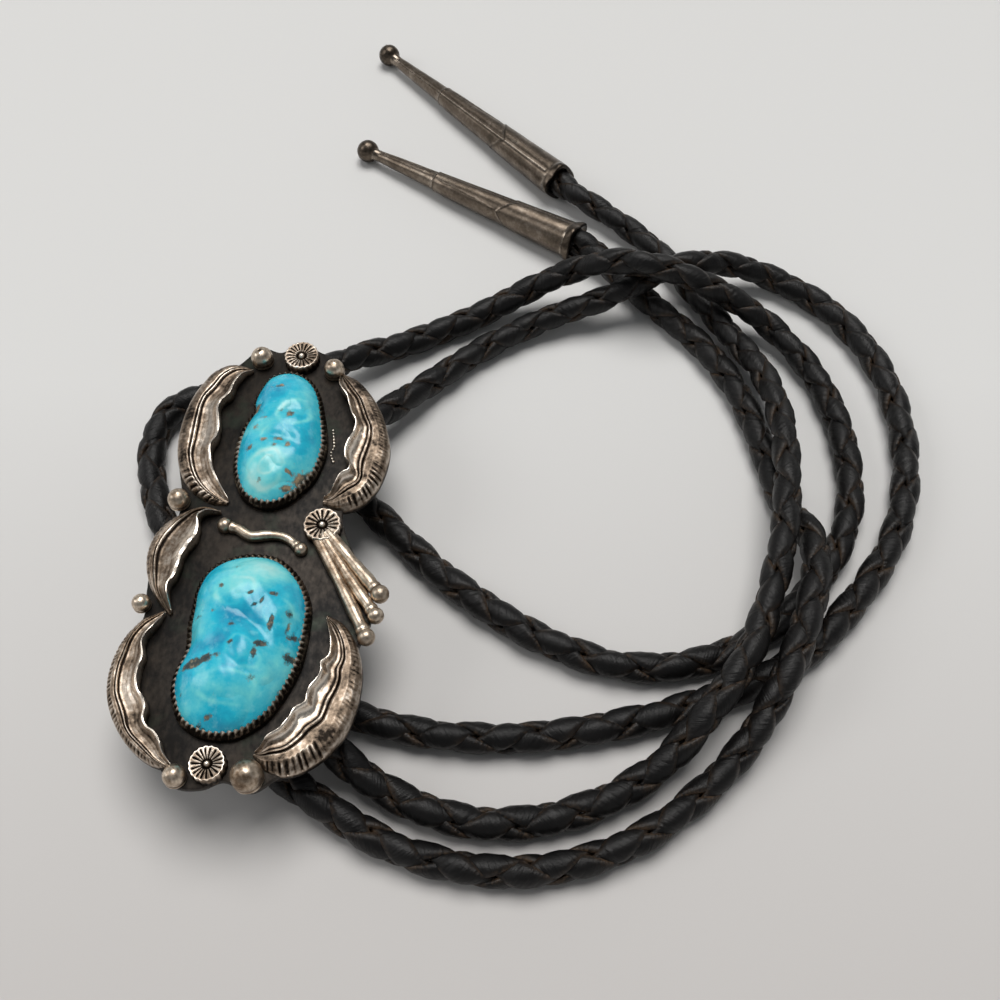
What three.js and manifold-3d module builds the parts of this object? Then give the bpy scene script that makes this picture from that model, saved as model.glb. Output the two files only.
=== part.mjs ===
// A bolo tie laid on a flat surface: a silver two-lobe slide set with two turquoise
// nuggets, a plain clip behind it, a round-braided leather cord in loose loops, and a
// silver cone tip on each end of the cord.
// Millimetres, +Z up. The origin is on the surface, under the middle of the metal pieces.
import * as THREE from "three";
import { mergeVertices } from "three/addons/utils/BufferGeometryUtils.js";
import Module from "manifold-3d";

const wasm = await Module();
wasm.setup();

// ---------------------------------------------------------------- driving dimensions
const ORIGIN_SHIFT = new THREE.Vector3(15.4, -25.4, 0); // layout drawing to object origin
const GAP = 0.3; // between pieces that touch
const CORD_RADIUS = 1.98; // cord 4 mm thick
const CORD_SIDES = 8;

const SLIDE_CENTRE = new THREE.Vector3(-29, -12, 9); // back face of the plate
const PLATE = 1.0; // thickness
const LEAF_HEIGHT = 1.5; // leaves stand on the plate
const SINK = 0.2; // soldered trim reaches this far into the plate
const BEZEL = { wall: 0.45, height: 1.7, gap: GAP };
const CURVE_STEPS = 6; // segments between two outline points

const STONES = {
  upper_stone: { height: 4.2, crown: [0.6, 15] },
  lower_stone: { height: 5.2, crown: [-0.8, -13] },
};
const STONE_RINGS = [[0, 1], [0.45, 1], [0.72, 0.9], [0.9, 0.7], [1, 0.36]]; // rise, size: shares of the whole

const STRAND_HEIGHT = 6.3; // centre of the two strands that the clip holds
const CLIP = { centre: [0.63, 4], turn: -4, width: 11.4, length: 13, height: 5.1, spacing: 5.3, bore: 2.3 };

const TIP = { ball: 1.8, neck: 0.9, ring: 1.65, cone: 2.7, flange: 3.0, bore: 2.35, depth: 4, sides: 20 };
const TIPS = {
  tip_a: { mouth: [9.7, 58.3, 3.03], end: [-19.4, 92.0, 1.8] },
  tip_b: { mouth: [11.9, 44.9, 3.03], end: [-22.8, 67.8, 1.8] },
};

// ---------------------------------------------------------------- the cord's route
// Centre of the cord in the layout drawing, from inside tip b to inside tip a:
// x, y, height. A strand that lies on the surface is 2 high, one that crosses it is 6.
const ROUTE = [
  // first tail: under the pile, down the inside of the loops, to the foot of the slide
  [9.2, 46.7, 2.93], [14.1, 43.5, 3.0], [19.0, 37.8, 2.0], [24.1, 31.6, 2.0], [29.2, 25.4, 2.0],
  [33.4, 17.5, 2.0], [35.9, 7.8, 2.0], [37.3, -1.0, 2.2], [39.6, -8.4, 4.7], [39.0, -14.6, 6.3],
  [36.6, -21.6, 6.3], [33.8, -27.4, 5.9], [29.6, -34.0, 3.2], [23.6, -40.2, 2.0], [14.0, -46.6, 2.0],
  [2.0, -49.4, 2.0], [-11.0, -47.1, 2.0], [-22.5, -40.6, 3.4], [-29.0, -36.0, 5.2],
  // left strand of the clip
  [-32.2, -28.0, 6.3], [-31.7, -17.5, 6.3], [-30.4, 0.5, 6.3], [-27.8, 13.6, 6.2],
  // upper strand: over the pile, down the right, back to the slide
  [-22.0, 20.6, 4.2], [-14.0, 25.2, 2.3], [-3.0, 31.0, 2.2], [5.0, 34.6, 4.2], [10.8, 35.6, 6.8],
  [16.0, 34.8, 9.4], [21.0, 33.6, 10.3], [26.6, 32.6, 8.9], [33.0, 31.0, 6.3], [39.4, 28.2, 3.0],
  [44.6, 20.6, 2.0], [47.1, 10.0, 2.0], [46.4, -2.0, 2.0], [42.0, -11.4, 2.0], [35.2, -18.6, 2.0],
  [26.6, -23.8, 2.0], [16.0, -25.2, 2.0], [5.0, -21.4, 2.0], [-6.6, -13.2, 2.0], [-14.2, -5.6, 2.0],
  [-21.0, 1.6, 2.0],
  // under the clip strands and round the left loop
  [-29.0, 9.2, 2.0], [-35.6, 14.4, 2.0], [-40.6, 16.2, 2.0], [-45.4, 14.1, 2.0], [-47.5, 9.0, 2.0],
  [-46.9, 2.6, 2.0], [-42.4, -8.2, 2.0], [-33.0, -20.4, 2.0], [-22.0, -28.9, 2.0],
  // lower strand: up the outside on the right, through the pile, back to the slide
  [-12.5, -32.8, 2.0], [0.0, -34.2, 2.0], [12.0, -32.9, 2.0], [24.0, -29.8, 2.0], [35.6, -24.6, 2.0],
  [45.0, -15.8, 2.0], [52.0, -5.6, 2.0], [55.4, 7.0, 2.0], [54.6, 20.6, 2.0], [49.6, 31.2, 2.0],
  [42.0, 37.6, 2.4], [35.2, 38.9, 4.4], [28.6, 37.6, 6.2], [22.0, 34.9, 6.2], [15.0, 31.9, 4.6],
  [7.4, 30.0, 2.8], [-2.0, 25.0, 2.0], [-9.6, 18.2, 2.6], [-15.8, 11.6, 4.2],
  // right strand of the clip
  [-21.4, 5.2, 6.1], [-25.1, 0.5, 6.3], [-26.4, -17.5, 6.3], [-25.8, -27.4, 6.3], [-20.8, -34.6, 5.2],
  // second tail: over the other strands on the right, under the pile, to tip a
  [-13.4, -40.3, 2.6], [-3.0, -44.0, 2.0], [8.0, -43.0, 2.0], [17.6, -38.4, 2.8], [24.2, -32.2, 5.9],
  [29.6, -25.0, 6.3], [33.2, -17.0, 6.3], [35.8, -8.6, 6.9], [37.4, 1.0, 6.9], [38.0, 10.5, 5.5],
  [36.9, 18.5, 4.2], [33.8, 26.8, 2.3], [29.0, 36.0, 2.0], [24.0, 44.6, 2.0], [18.4, 50.4, 2.4],
  [11.5, 56.3, 3.0], [7.6, 60.7, 2.93],
];

// ---------------------------------------------------------------- the slide's outlines
// Seen from above, from the middle of the slide: x to the right, y to the top lobe.
const PLATE_OUTLINE = [
  [-5.8, 27.6], [-3.4, 30.2], [-0.6, 29.4], [1.8, 31.2], [4.4, 29.6], [6.6, 28.2], [8.4, 25.4],
  [12.4, 20.6], [13.8, 14.0], [12.6, 8.6], [9.6, 4.4], [10.2, 0.8], [12.6, -4.6], [14.0, -10.4],
  [12.6, -14.6], [12.0, -19.4], [11.6, -23.6], [9.2, -27.2], [5.0, -29.4], [2.4, -31.0],
  [-0.8, -29.8], [-3.0, -30.6], [-6.0, -30.4], [-8.4, -28.2], [-12.8, -25.4], [-14.4, -20.0],
  [-14.2, -14.6], [-12.6, -10.2], [-12.8, -7.4], [-12.8, -2.4], [-10.8, 2.4], [-10.8, 6.8],
  [-11.8, 11.4], [-11.8, 17.6], [-9.8, 23.4],
];
const UPPER_STONE = [
  [-0.3, 26.0], [3.6, 24.2], [5.6, 19.6], [6.0, 14.6], [4.8, 9.4], [2.2, 6.0], [-0.6, 5.2],
  [-3.4, 8.0], [-4.8, 13.4], [-3.8, 18.6], [-2.6, 23.6],
];
const LOWER_STONE = [
  [-0.6, -2.6], [3.6, -4.2], [5.8, -8.6], [5.6, -14.0], [3.4, -20.0], [-1.0, -24.2], [-5.2, -23.2],
  [-7.6, -19.6], [-7.4, -13.4], [-7.0, -8.4], [-4.2, -3.6],
];
// Each leaf: its outer edge from one tip to the other, the inner edge back, and the
// waves along the inner edge.
const LEAVES = [
  { // upper left
    outer: [[-4.8, 26.4], [-8.4, 25.4], [-11.6, 20.8], [-12.4, 15.2], [-11.4, 9.4], [-8.6, 5.8], [-5.8, 5.4]],
    inner: [[-6.8, 9.0], [-8.2, 14.6], [-7.8, 20.0], [-6.0, 24.0]],
  },
  { // upper right
    outer: [[7.6, 5.2], [11.2, 6.0], [14.0, 10.4], [14.6, 14.8], [13.2, 19.8], [10.6, 23.8], [7.4, 25.4]],
    inner: [[9.0, 21.2], [9.6, 16.4], [9.2, 11.8], [7.6, 7.8]],
  },
  { // middle left
    outer: [[-6.0, 4.4], [-10.0, 3.4], [-12.8, 0.4], [-13.4, -3.0], [-12.6, -6.4], [-10.0, -9.4]],
    inner: [[-9.6, -5.6], [-8.8, -1.8], [-7.4, 1.8]],
  },
  { // lower left
    outer: [[-10.8, -9.8], [-13.2, -11.4], [-15.2, -16.0], [-15.0, -21.0], [-12.8, -25.4], [-10.0, -27.8],
      [-7.4, -27.6]],
    inner: [[-9.6, -24.0], [-11.4, -19.8], [-12.0, -15.4], [-11.6, -12.0]],
  },
  { // lower right
    outer: [[3.0, -27.6], [5.4, -29.2], [9.0, -28.4], [11.8, -24.8], [12.8, -19.2], [12.4, -14.0], [8.8, -10.2]],
    inner: [[9.8, -14.6], [9.2, -18.4], [6.8, -22.4], [4.2, -25.8]],
  },
];
const LEAF_WAVES = { count: 4, depth: 0.3 };
const BALLS = [ // x, y, radius
  [-3.4, 28.4, 1.5], [6.5, 26.6, 1.4], [-11.0, 6.2, 1.4], [-13.1, -8.6, 1.05], [-6.1, -29.2, 1.2], [1.6, -29.3, 1.7],
];
const ROSETTES = [ // x, y, radius
  [1.9, 28.5, 2.15], [7.1, 2.0, 2.2], [-3.0, -28.4, 2.0],
];
const ROSETTE = { height: 1.4, petals: 16, scallop: 0.1, boss: 0.4 };
const WIRE = {
  route: [[-4.7, 2.2], [-3.4, 1.4], [-1.6, 0.8], [0.6, 0.9], [3.0, 0.1], [4.9, -1.5]],
  radius: 0.5, balls: [0.85, 0.85],
};
const RAYS = [ // from under the middle rosette to a ball: start, end, ball radius
  [[8.0, 1.4], [14.2, -7.3], 1.25], [[7.4, 0.9], [14.2, -9.8], 1.05], [[6.8, 0.4], [13.4, -12.7], 1.1],
];
const RAY = { thin: 0.5, thick: 0.75 };

// ---------------------------------------------------------------- helpers
const topOfPlate = PLATE;

function solid(geometry) {
  const bare = geometry.clone();
  for (const name of ["normal", "uv"]) bare.deleteAttribute(name);
  const merged = mergeVertices(bare, 1e-4);
  return new wasm.Manifold(new wasm.Mesh({
    numProp: 3,
    vertProperties: new Float32Array(merged.attributes.position.array),
    triVerts: new Uint32Array(merged.index.array),
  }));
}

function geometryOf(manifold) {
  const mesh = manifold.getMesh();
  const geometry = new THREE.BufferGeometry();
  geometry.setAttribute("position", new THREE.BufferAttribute(new Float32Array(mesh.vertProperties), 3));
  geometry.setIndex(new THREE.BufferAttribute(new Uint32Array(mesh.triVerts), 1));
  geometry.computeVertexNormals();
  return geometry;
}

const union = (solids) => solids.reduce((sum, next) => sum.add(next));

function smooth(points, closed, steps = CURVE_STEPS) {
  const curve = new THREE.CatmullRomCurve3(points.map(([x, y]) => new THREE.Vector3(x, y, 0)), closed, "centripetal");
  const count = steps * (closed ? points.length : points.length - 1);
  const sampled = curve.getPoints(count).map((p) => new THREE.Vector2(p.x, p.y));
  return closed ? sampled.slice(0, -1) : sampled;
}

// Moves each point of a closed outline outwards by a distance.
function grown(outline, distance) {
  const sign = THREE.ShapeUtils.area(outline) > 0 ? 1 : -1;
  return outline.map((point, i) => {
    const before = outline[(i + outline.length - 1) % outline.length];
    const after = outline[(i + 1) % outline.length];
    const along = after.clone().sub(before).normalize();
    return new THREE.Vector2(point.x + sign * along.y * distance, point.y - sign * along.x * distance);
  });
}

function slab(outline, bottom, top) {
  const shape = new THREE.Shape(outline);
  return new THREE.ExtrudeGeometry(shape, { depth: top - bottom, bevelEnabled: false }).translate(0, 0, bottom);
}

const ball = (x, y, z, radius) => new THREE.SphereGeometry(radius, 14, 9).translate(x, y, z);

// ---------------------------------------------------------------- the slide
function leafOutline({ outer, inner }) {
  const edge = smooth(outer, false, 3);
  const line = smooth([outer.at(-1), ...inner, outer[0]], false, 5);
  const waved = line.slice(1, -1).map((point, i) => {
    const t = (i + 1) / (line.length - 1);
    const along = line[i + 2].clone().sub(line[i]).normalize();
    const push = LEAF_WAVES.depth * Math.sin(2 * Math.PI * LEAF_WAVES.count * t) * Math.sin(Math.PI * t);
    return new THREE.Vector2(point.x + along.y * push, point.y - along.x * push);
  });
  return [...edge, ...waved];
}

function rosette([x, y, radius]) {
  const points = [];
  const count = ROSETTE.petals * 4;
  for (let i = 0; i < count; i += 1) {
    const angle = (2 * Math.PI * i) / count;
    const r = radius + ROSETTE.scallop * Math.cos(ROSETTE.petals * angle);
    points.push(new THREE.Vector2(x + r * Math.cos(angle), y + r * Math.sin(angle)));
  }
  const disc = solid(slab(points, topOfPlate - SINK, topOfPlate + ROSETTE.height));
  return disc.add(solid(ball(x, y, topOfPlate + ROSETTE.height, ROSETTE.boss)));
}

function bezel(outline) {
  const inside = grown(outline, BEZEL.gap);
  const outside = grown(outline, BEZEL.gap + BEZEL.wall);
  const wall = solid(slab(outside, topOfPlate - SINK, topOfPlate + BEZEL.height));
  return wall.subtract(solid(slab(inside, -PLATE, topOfPlate + 2 * BEZEL.height)));
}

function wavyWire() {
  const z = topOfPlate + WIRE.radius - 0.1;
  const route = new THREE.CatmullRomCurve3(WIRE.route.map(([x, y]) => new THREE.Vector3(x, y, z)), false, "centripetal");
  const circle = new THREE.Shape().absarc(0, 0, WIRE.radius, 0, 2 * Math.PI);
  const wire = new THREE.ExtrudeGeometry(circle, { steps: 16, curveSegments: 4, extrudePath: route });
  const ends = [WIRE.route[0], WIRE.route.at(-1)];
  return union([solid(wire), ...ends.map(([x, y], i) => solid(ball(x, y, z + 0.2, WIRE.balls[i])))]);
}

function ray([[x0, y0], [x1, y1], ballRadius]) {
  const start = new THREE.Vector3(x0, y0, topOfPlate + RAY.thin - 0.1);
  const end = new THREE.Vector3(x1, y1, topOfPlate + RAY.thick);
  const along = end.clone().sub(start);
  const rod = new THREE.CylinderGeometry(RAY.thick, RAY.thin, along.length(), 10);
  rod.applyQuaternion(new THREE.Quaternion().setFromUnitVectors(new THREE.Vector3(0, 1, 0), along.clone().normalize()));
  const middle = start.clone().add(end).multiplyScalar(0.5);
  rod.translate(middle.x, middle.y, middle.z);
  return solid(rod).add(solid(ball(x1, y1, end.z, ballRadius)));
}

function slideSolid(upper, lower) {
  const plate = solid(slab(smooth(PLATE_OUTLINE, true, 3), 0, PLATE));
  const leaves = LEAVES.map((leaf) => solid(slab(leafOutline(leaf), topOfPlate - SINK, topOfPlate + LEAF_HEIGHT)));
  const balls = BALLS.map(([x, y, r]) => solid(ball(x, y, topOfPlate + r * 0.75, r)));
  return union([
    plate, ...leaves, ...balls, ...ROSETTES.map(rosette), bezel(upper), bezel(lower), wavyWire(), ...RAYS.map(ray),
  ]);
}

// A nugget: its outline carried up and drawn in towards a crown that is off centre.
function stone(outline, { height, crown }) {
  const bottom = topOfPlate + GAP;
  const positions = [];
  const middle = new THREE.Vector2(...crown);
  for (const [rise, size] of STONE_RINGS) {
    for (const point of outline) {
      const p = middle.clone().lerp(point, size);
      positions.push(p.x, p.y, bottom + rise * height);
    }
  }
  const n = outline.length;
  const floor = positions.length / 3;
  positions.push(middle.x, middle.y, bottom, middle.x, middle.y, bottom + height);
  const index = [];
  for (let i = 0; i < n; i += 1) {
    const j = (i + 1) % n;
    index.push(floor, j, i, floor + 1, (STONE_RINGS.length - 1) * n + i, (STONE_RINGS.length - 1) * n + j);
    for (let r = 0; r < STONE_RINGS.length - 1; r += 1) {
      index.push(r * n + i, r * n + j, (r + 1) * n + j, r * n + i, (r + 1) * n + j, (r + 1) * n + i);
    }
  }
  if (THREE.ShapeUtils.area(outline) < 0) index.reverse();
  const geometry = new THREE.BufferGeometry();
  geometry.setAttribute("position", new THREE.Float32BufferAttribute(positions, 3));
  geometry.setIndex(index);
  geometry.computeVertexNormals();
  return geometry;
}

// A plain block behind the plate with a channel for each of the two strands.
function clip() {
  const half = CLIP.width / 2;
  const drop = SLIDE_CENTRE.z - STRAND_HEIGHT; // from the plate's back to the strands
  const section = new THREE.Shape([
    new THREE.Vector2(-half, -GAP - CLIP.height), new THREE.Vector2(half, -GAP - CLIP.height),
    new THREE.Vector2(half, -GAP), new THREE.Vector2(-half, -GAP),
  ]);
  for (const side of [-1, 1]) {
    section.holes.push(new THREE.Path().absarc((side * CLIP.spacing) / 2, -drop, CLIP.bore, 0, 2 * Math.PI));
  }
  const block = new THREE.ExtrudeGeometry(section, { depth: CLIP.length, bevelEnabled: false, curveSegments: 10 });
  block.translate(0, 0, -CLIP.length / 2).rotateX(Math.PI / 2);
  return block.rotateZ(THREE.MathUtils.degToRad(CLIP.turn)).translate(CLIP.centre[0], CLIP.centre[1], 0);
}

// ---------------------------------------------------------------- tips and cord
// A hollow cone turned about its axis, which runs from the end ball at 0 to the mouth.
function tip({ mouth, end }) {
  const axis = new THREE.Vector3(...mouth).sub(new THREE.Vector3(...end));
  const length = axis.length();
  const profile = [];
  for (let i = 0; i <= 7; i += 1) {
    const angle = (Math.PI * 5 * i) / 42; // round the ball from its pole to the neck
    profile.push([TIP.ball * Math.sin(angle), -TIP.ball * Math.cos(angle)]);
  }
  profile[0][0] = 0;
  profile.push([TIP.neck, TIP.ball * 0.9], [TIP.neck, 2.6], [1.45, 0.34 * length], [TIP.ring, 0.35 * length]);
  profile.push([TIP.ring, 0.38 * length], [2.25, 0.7 * length], [TIP.cone - 0.3, 0.72 * length]);
  profile.push([TIP.cone, length - 1.3], [TIP.flange, length - 1.1], [TIP.flange, length]);
  profile.push([TIP.bore, length], [TIP.bore, length - TIP.depth], [0, length - TIP.depth]);
  const turned = new THREE.LatheGeometry(profile.map(([r, s]) => new THREE.Vector2(r, s)), TIP.sides);
  turned.applyQuaternion(new THREE.Quaternion().setFromUnitVectors(new THREE.Vector3(0, 1, 0), axis.normalize()));
  return turned.translate(...end);
}

// The smooth route, stepped so that the tube has one ring at each row of the table.
class RowByRow extends THREE.CatmullRomCurve3 {
  getPointAt(u, target) { return this.getPoint(u, target); }

  getTangentAt(u, target) { return this.getTangent(u, target); }

  getSpacedPoints(divisions) { return this.getPoints(divisions); }
}

function cord() {
  const route = new RowByRow(ROUTE.map((row) => new THREE.Vector3(...row)), false, "centripetal");
  const section = new THREE.Shape();
  for (let i = 0; i < CORD_SIDES; i += 1) {
    const angle = (2 * Math.PI * (i + 0.5)) / CORD_SIDES;
    section[i === 0 ? "moveTo" : "lineTo"](CORD_RADIUS * Math.cos(angle), CORD_RADIUS * Math.sin(angle));
  }
  return new THREE.ExtrudeGeometry(section, { steps: ROUTE.length - 1, extrudePath: route });
}

// ---------------------------------------------------------------- assembly
const silver = new THREE.MeshStandardMaterial({ color: 0x9c8f80, roughness: 0.42, metalness: 1.0 });
const darkSilver = new THREE.MeshStandardMaterial({ color: 0x6b625a, roughness: 0.5, metalness: 1.0 });
const turquoise = new THREE.MeshStandardMaterial({ color: 0x2fb6cf, roughness: 0.3, metalness: 0.0 });
const leather = new THREE.MeshStandardMaterial({ color: 0x1b1a1a, roughness: 0.62, metalness: 0.0 });

function piece(name, geometry, material) {
  const mesh = new THREE.Mesh(geometry, material);
  mesh.name = name;
  return mesh;
}

const upperOutline = smooth(UPPER_STONE, true, 4);
const lowerOutline = smooth(LOWER_STONE, true, 4);

const slideGroup = new THREE.Group();
slideGroup.position.copy(SLIDE_CENTRE);
slideGroup.add(
  piece("slide", geometryOf(slideSolid(upperOutline, lowerOutline)), silver),
  piece("upper_stone", stone(upperOutline, STONES.upper_stone), turquoise),
  piece("lower_stone", stone(lowerOutline, STONES.lower_stone), turquoise),
  piece("back_clip", clip(), darkSilver),
);

const group = new THREE.Group();
group.position.copy(ORIGIN_SHIFT);
group.add(slideGroup, piece("cord", cord(), leather));
for (const [name, places] of Object.entries(TIPS)) group.add(piece(name, tip(places), silver));

export default group;
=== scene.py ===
"""A bolo tie laid on a pale table: silver slide, two turquoise nuggets, braided cord, cone tips.

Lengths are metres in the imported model's frame, +Z up.  Drawings of the slide are in
millimetres from the middle of its back plate, and are carried to the frame in one place.
"""

import logging
import math
from collections.abc import Callable, Sequence
from dataclasses import dataclass, field
from enum import Enum

import bmesh
import bpy
import numpy as np
from mathutils import Matrix, Vector


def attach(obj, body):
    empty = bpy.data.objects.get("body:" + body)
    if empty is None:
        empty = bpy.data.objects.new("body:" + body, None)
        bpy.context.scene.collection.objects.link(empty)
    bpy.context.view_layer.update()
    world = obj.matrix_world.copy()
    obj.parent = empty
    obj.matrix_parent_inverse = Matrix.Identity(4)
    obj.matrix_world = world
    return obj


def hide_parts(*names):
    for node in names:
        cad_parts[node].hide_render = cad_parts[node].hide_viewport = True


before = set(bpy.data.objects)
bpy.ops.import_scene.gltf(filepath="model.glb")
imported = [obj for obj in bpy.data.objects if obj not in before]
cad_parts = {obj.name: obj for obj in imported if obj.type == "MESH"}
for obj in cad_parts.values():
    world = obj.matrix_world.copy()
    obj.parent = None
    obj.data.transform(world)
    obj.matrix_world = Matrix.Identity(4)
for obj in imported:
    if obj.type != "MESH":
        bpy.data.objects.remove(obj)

MM = 0.001
WELD = 0.0008 * MM
BODY = "root"
ROW_ORIGIN = np.array([15.4, -25.4, 0.0])  # from the layout drawing, in millimetres
SLIDE_MIDDLE = np.array([-29.0, -12.0, 9.0])  # back of the plate, in the layout drawing
PLATE_TOP = 1.0  # above the back of the plate, in millimetres
TABLE_GAP = 0.02 * MM  # how far above the table the lowest points stay

Point = tuple[float, float]
Array = np.ndarray
log = logging.getLogger("bolo_tie")


# ------------------------------------------------------------------ lines and surfaces
def to_frame(layout: Array) -> Array:
    """Points of the layout drawing, in millimetres, as points of the frame, in metres."""
    return (np.asarray(layout, float) + ROW_ORIGIN) * MM


def to_slide(local: Array) -> Array:
    """Points of the slide's own drawing, in millimetres, as points of the frame, in metres."""
    return to_frame(np.asarray(local, float) + SLIDE_MIDDLE)


def catmull_rom(points: Sequence[Sequence[float]], closed: bool, steps: int) -> Array:
    """A centripetal Catmull-Rom line through points.

    Args:
        points: The points that the line passes through.
        closed: Whether the line returns to its first point.
        steps: The number of steps between two points.

    Returns:
        The points of the line; an open line keeps its last point, a closed one doesn't repeat it.
    """
    knots = np.asarray(points, float)
    if closed:
        ring = np.vstack([knots[-1:], knots, knots[:2]])
    else:
        ring = np.vstack([2 * knots[0] - knots[1], knots, 2 * knots[-1] - knots[-2]])
    made = []
    for before, start, end, after in zip(ring, ring[1:], ring[2:], ring[3:]):
        sides = ((before, start), (start, end), (end, after))
        gaps = [max(np.sum((b - a) ** 2) ** 0.25, 1e-9) for a, b in sides]
        leave = (start - before) / gaps[0] - (end - before) / (gaps[0] + gaps[1]) + (end - start) / gaps[1]
        reach = (end - start) / gaps[1] - (after - start) / (gaps[1] + gaps[2]) + (after - end) / gaps[2]
        leave, reach = leave * gaps[1], reach * gaps[1]
        t = (np.arange(steps) / steps)[:, None]
        made.append(
            start
            + leave * t
            + (3 * (end - start) - 2 * leave - reach) * t**2
            + (2 * (start - end) + leave + reach) * t**3
        )
    return np.vstack(made if closed else [*made, knots[-1:]])


class Path:
    """A smooth line with its length and an untwisted pair of side directions at each step."""

    def __init__(self, points: Sequence[Sequence[float]], steps: int = 12) -> None:
        """Measures the line.

        Args:
            points: The points that the line passes through, two or three numbers each.
            steps: The number of steps between two points.
        """
        line = catmull_rom(points, False, steps)
        if line.shape[1] == 2:
            line = np.hstack([line, np.zeros((len(line), 1))])
        self.line = line
        self.reach = np.concatenate([[0], np.cumsum(np.linalg.norm(np.diff(line, axis=0), axis=1))])
        self.length = float(self.reach[-1])
        self.along = self._unit(np.gradient(line, self.reach, axis=0))
        side = np.zeros_like(line)
        side[0] = self._unit(np.cross(self.along[0], [0.03, 0.02, 1.0]))
        for i in range(1, len(line)):
            side[i] = self._unit(side[i - 1] - self.along[i] * np.dot(side[i - 1], self.along[i]))
        self.side = side
        self.up = np.cross(self.side, self.along)

    @staticmethod
    def _unit(vectors: Array) -> Array:
        """The vectors at length 1."""
        return vectors / np.maximum(np.linalg.norm(vectors, axis=-1, keepdims=True), 1e-12)

    def _read(self, table: Array, distance: Array) -> Array:
        """A table's rows at these distances along the line."""
        return np.stack([np.interp(distance, self.reach, column) for column in table.T], axis=-1)

    def at(self, distance: Array) -> Array:
        """Points at these distances along the line."""
        return self._read(self.line, distance)

    def around(self, distance: Array, angle: Array, radius: Array) -> Array:
        """Points round the line.

        Args:
            distance: How far along the line each point is.
            angle: Its turn about the line, in radians.
            radius: How far it stands from the line.

        Returns:
            One row of x, y, z for each point.
        """
        side, up = self._read(self.side, distance), self._read(self.up, distance)
        turned = side * np.cos(angle)[:, None] + up * np.sin(angle)[:, None]
        return self.at(distance) + self._unit(turned) * np.asarray(radius)[:, None]


def smoothstep(low: float, high: float, x: Array) -> Array:
    """0 below low and 1 above high, with a smooth rise between."""
    t = np.clip((np.asarray(x, float) - low) / (high - low), 0, 1)
    return t * t * (3 - 2 * t)


def ripple(spots: Array, size: float, seed: float = 0.0) -> Array:
    """Soft unevenness between about -1 and 1.

    Args:
        spots: Points, one row of x, y, z each.
        size: About how long the waves are, in the points' own measure.
        seed: Gives another pattern for each piece.

    Returns:
        One number for each point.
    """
    x, y, z = (np.asarray(spots, float) / size).T
    a = np.sin(2.1 * x + 1.3 * y + 0.7 * z + seed) * np.cos(1.7 * y - 0.9 * x + 2.3 * seed)
    b = np.sin(3.7 * y - 2.9 * z + 1.9 * x + 4.1 * seed) * np.cos(4.3 * x + 1.1 * z - seed)
    return 0.65 * a + 0.35 * b


def groove(phase: Array, width: float) -> Array:
    """1 on each whole number of phase, falling to 0 over this share of a step."""
    off = np.abs(phase - np.round(phase))
    return np.exp(-((off / width) ** 2))


# ------------------------------------------------------------------ mesh helpers
def place_verts(verts: Sequence[bmesh.types.BMVert], spots: Array) -> None:
    """Moves each vertex to its row of spots."""
    for vert, spot in zip(verts, spots):
        vert.co = spot


def positions(verts: Sequence[bmesh.types.BMVert]) -> Array:
    """The vertices' positions, one row each."""
    return np.array([vert.co[:] for vert in verts])


def rolled_sheet(
    bm: bmesh.types.BMesh, rows: int, columns: int, place: Callable[[Array, Array], Array]
) -> None:
    """Adds a sheet that is rolled into a closed tube or ring.

    Args:
        bm: The mesh that takes it.
        rows: The number of faces along the sheet.
        columns: The number of faces round it.
        place: Gives each point's place from its shares, 0 to 1, along and round the sheet.
    """
    made = bmesh.ops.create_grid(bm, x_segments=rows, y_segments=columns, size=0.5, calc_uvs=True)["verts"]
    flat = positions(made) + 0.5
    place_verts(made, place(flat[:, 0], flat[:, 1]))
    bmesh.ops.remove_doubles(bm, verts=made, dist=WELD)
    open_edges = [edge for edge in bm.edges if edge.is_boundary]
    if open_edges:
        bmesh.ops.holes_fill(bm, edges=open_edges, sides=0)


def thick_sheet(
    bm: bmesh.types.BMesh,
    rows: int,
    columns: int,
    place: Callable[[Array, Array, bool], Array],
    polish: Callable[[Array, Array, bool], Array],
) -> None:
    """Adds a sheet with a top and a bottom.

    Args:
        bm: The mesh that takes it.
        rows: The number of faces along the sheet.
        columns: The number of faces across it.
        place: Gives each point's place from its shares along and across, and whether it is on top.
        polish: Gives how much brighter than its shape alone each point is rubbed; below zero on a leaf's
            walls, it is painted shade.
    """
    layer = bm.verts.layers.float.new("polish")
    bottom = bmesh.ops.create_grid(bm, x_segments=rows, y_segments=columns, size=0.5, calc_uvs=True)["verts"]
    faces = list({face for vert in bottom for face in vert.link_faces})
    made = bmesh.ops.extrude_face_region(bm, geom=faces)["geom"]
    top = [part for part in made if isinstance(part, bmesh.types.BMVert)]
    for verts, is_top in ((bottom, False), (top, True)):
        flat = positions(verts) + 0.5
        for vert, value in zip(verts, polish(flat[:, 0], flat[:, 1], is_top)):
            vert[layer] = value
        place_verts(verts, place(flat[:, 0], flat[:, 1], is_top))


def turned_profile(bm: bmesh.types.BMesh, profile: Sequence[Point], steps: int) -> None:
    """Spins a profile about +Z.

    Args:
        bm: The mesh that takes it.
        profile: Radius and height of each point; it starts and ends on the axis.
        steps: The number of faces round the axis.
    """
    line = [bm.verts.new((radius, 0, height)) for radius, height in profile]
    edges = [bm.edges.new(pair) for pair in zip(line, line[1:])]
    bmesh.ops.spin(
        bm,
        geom=[*line, *edges],
        cent=(0, 0, 0),
        axis=(0, 0, 1),
        angle=2 * math.pi,
        steps=steps,
        use_merge=True,
    )
    bmesh.ops.remove_doubles(bm, verts=bm.verts, dist=WELD)


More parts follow.
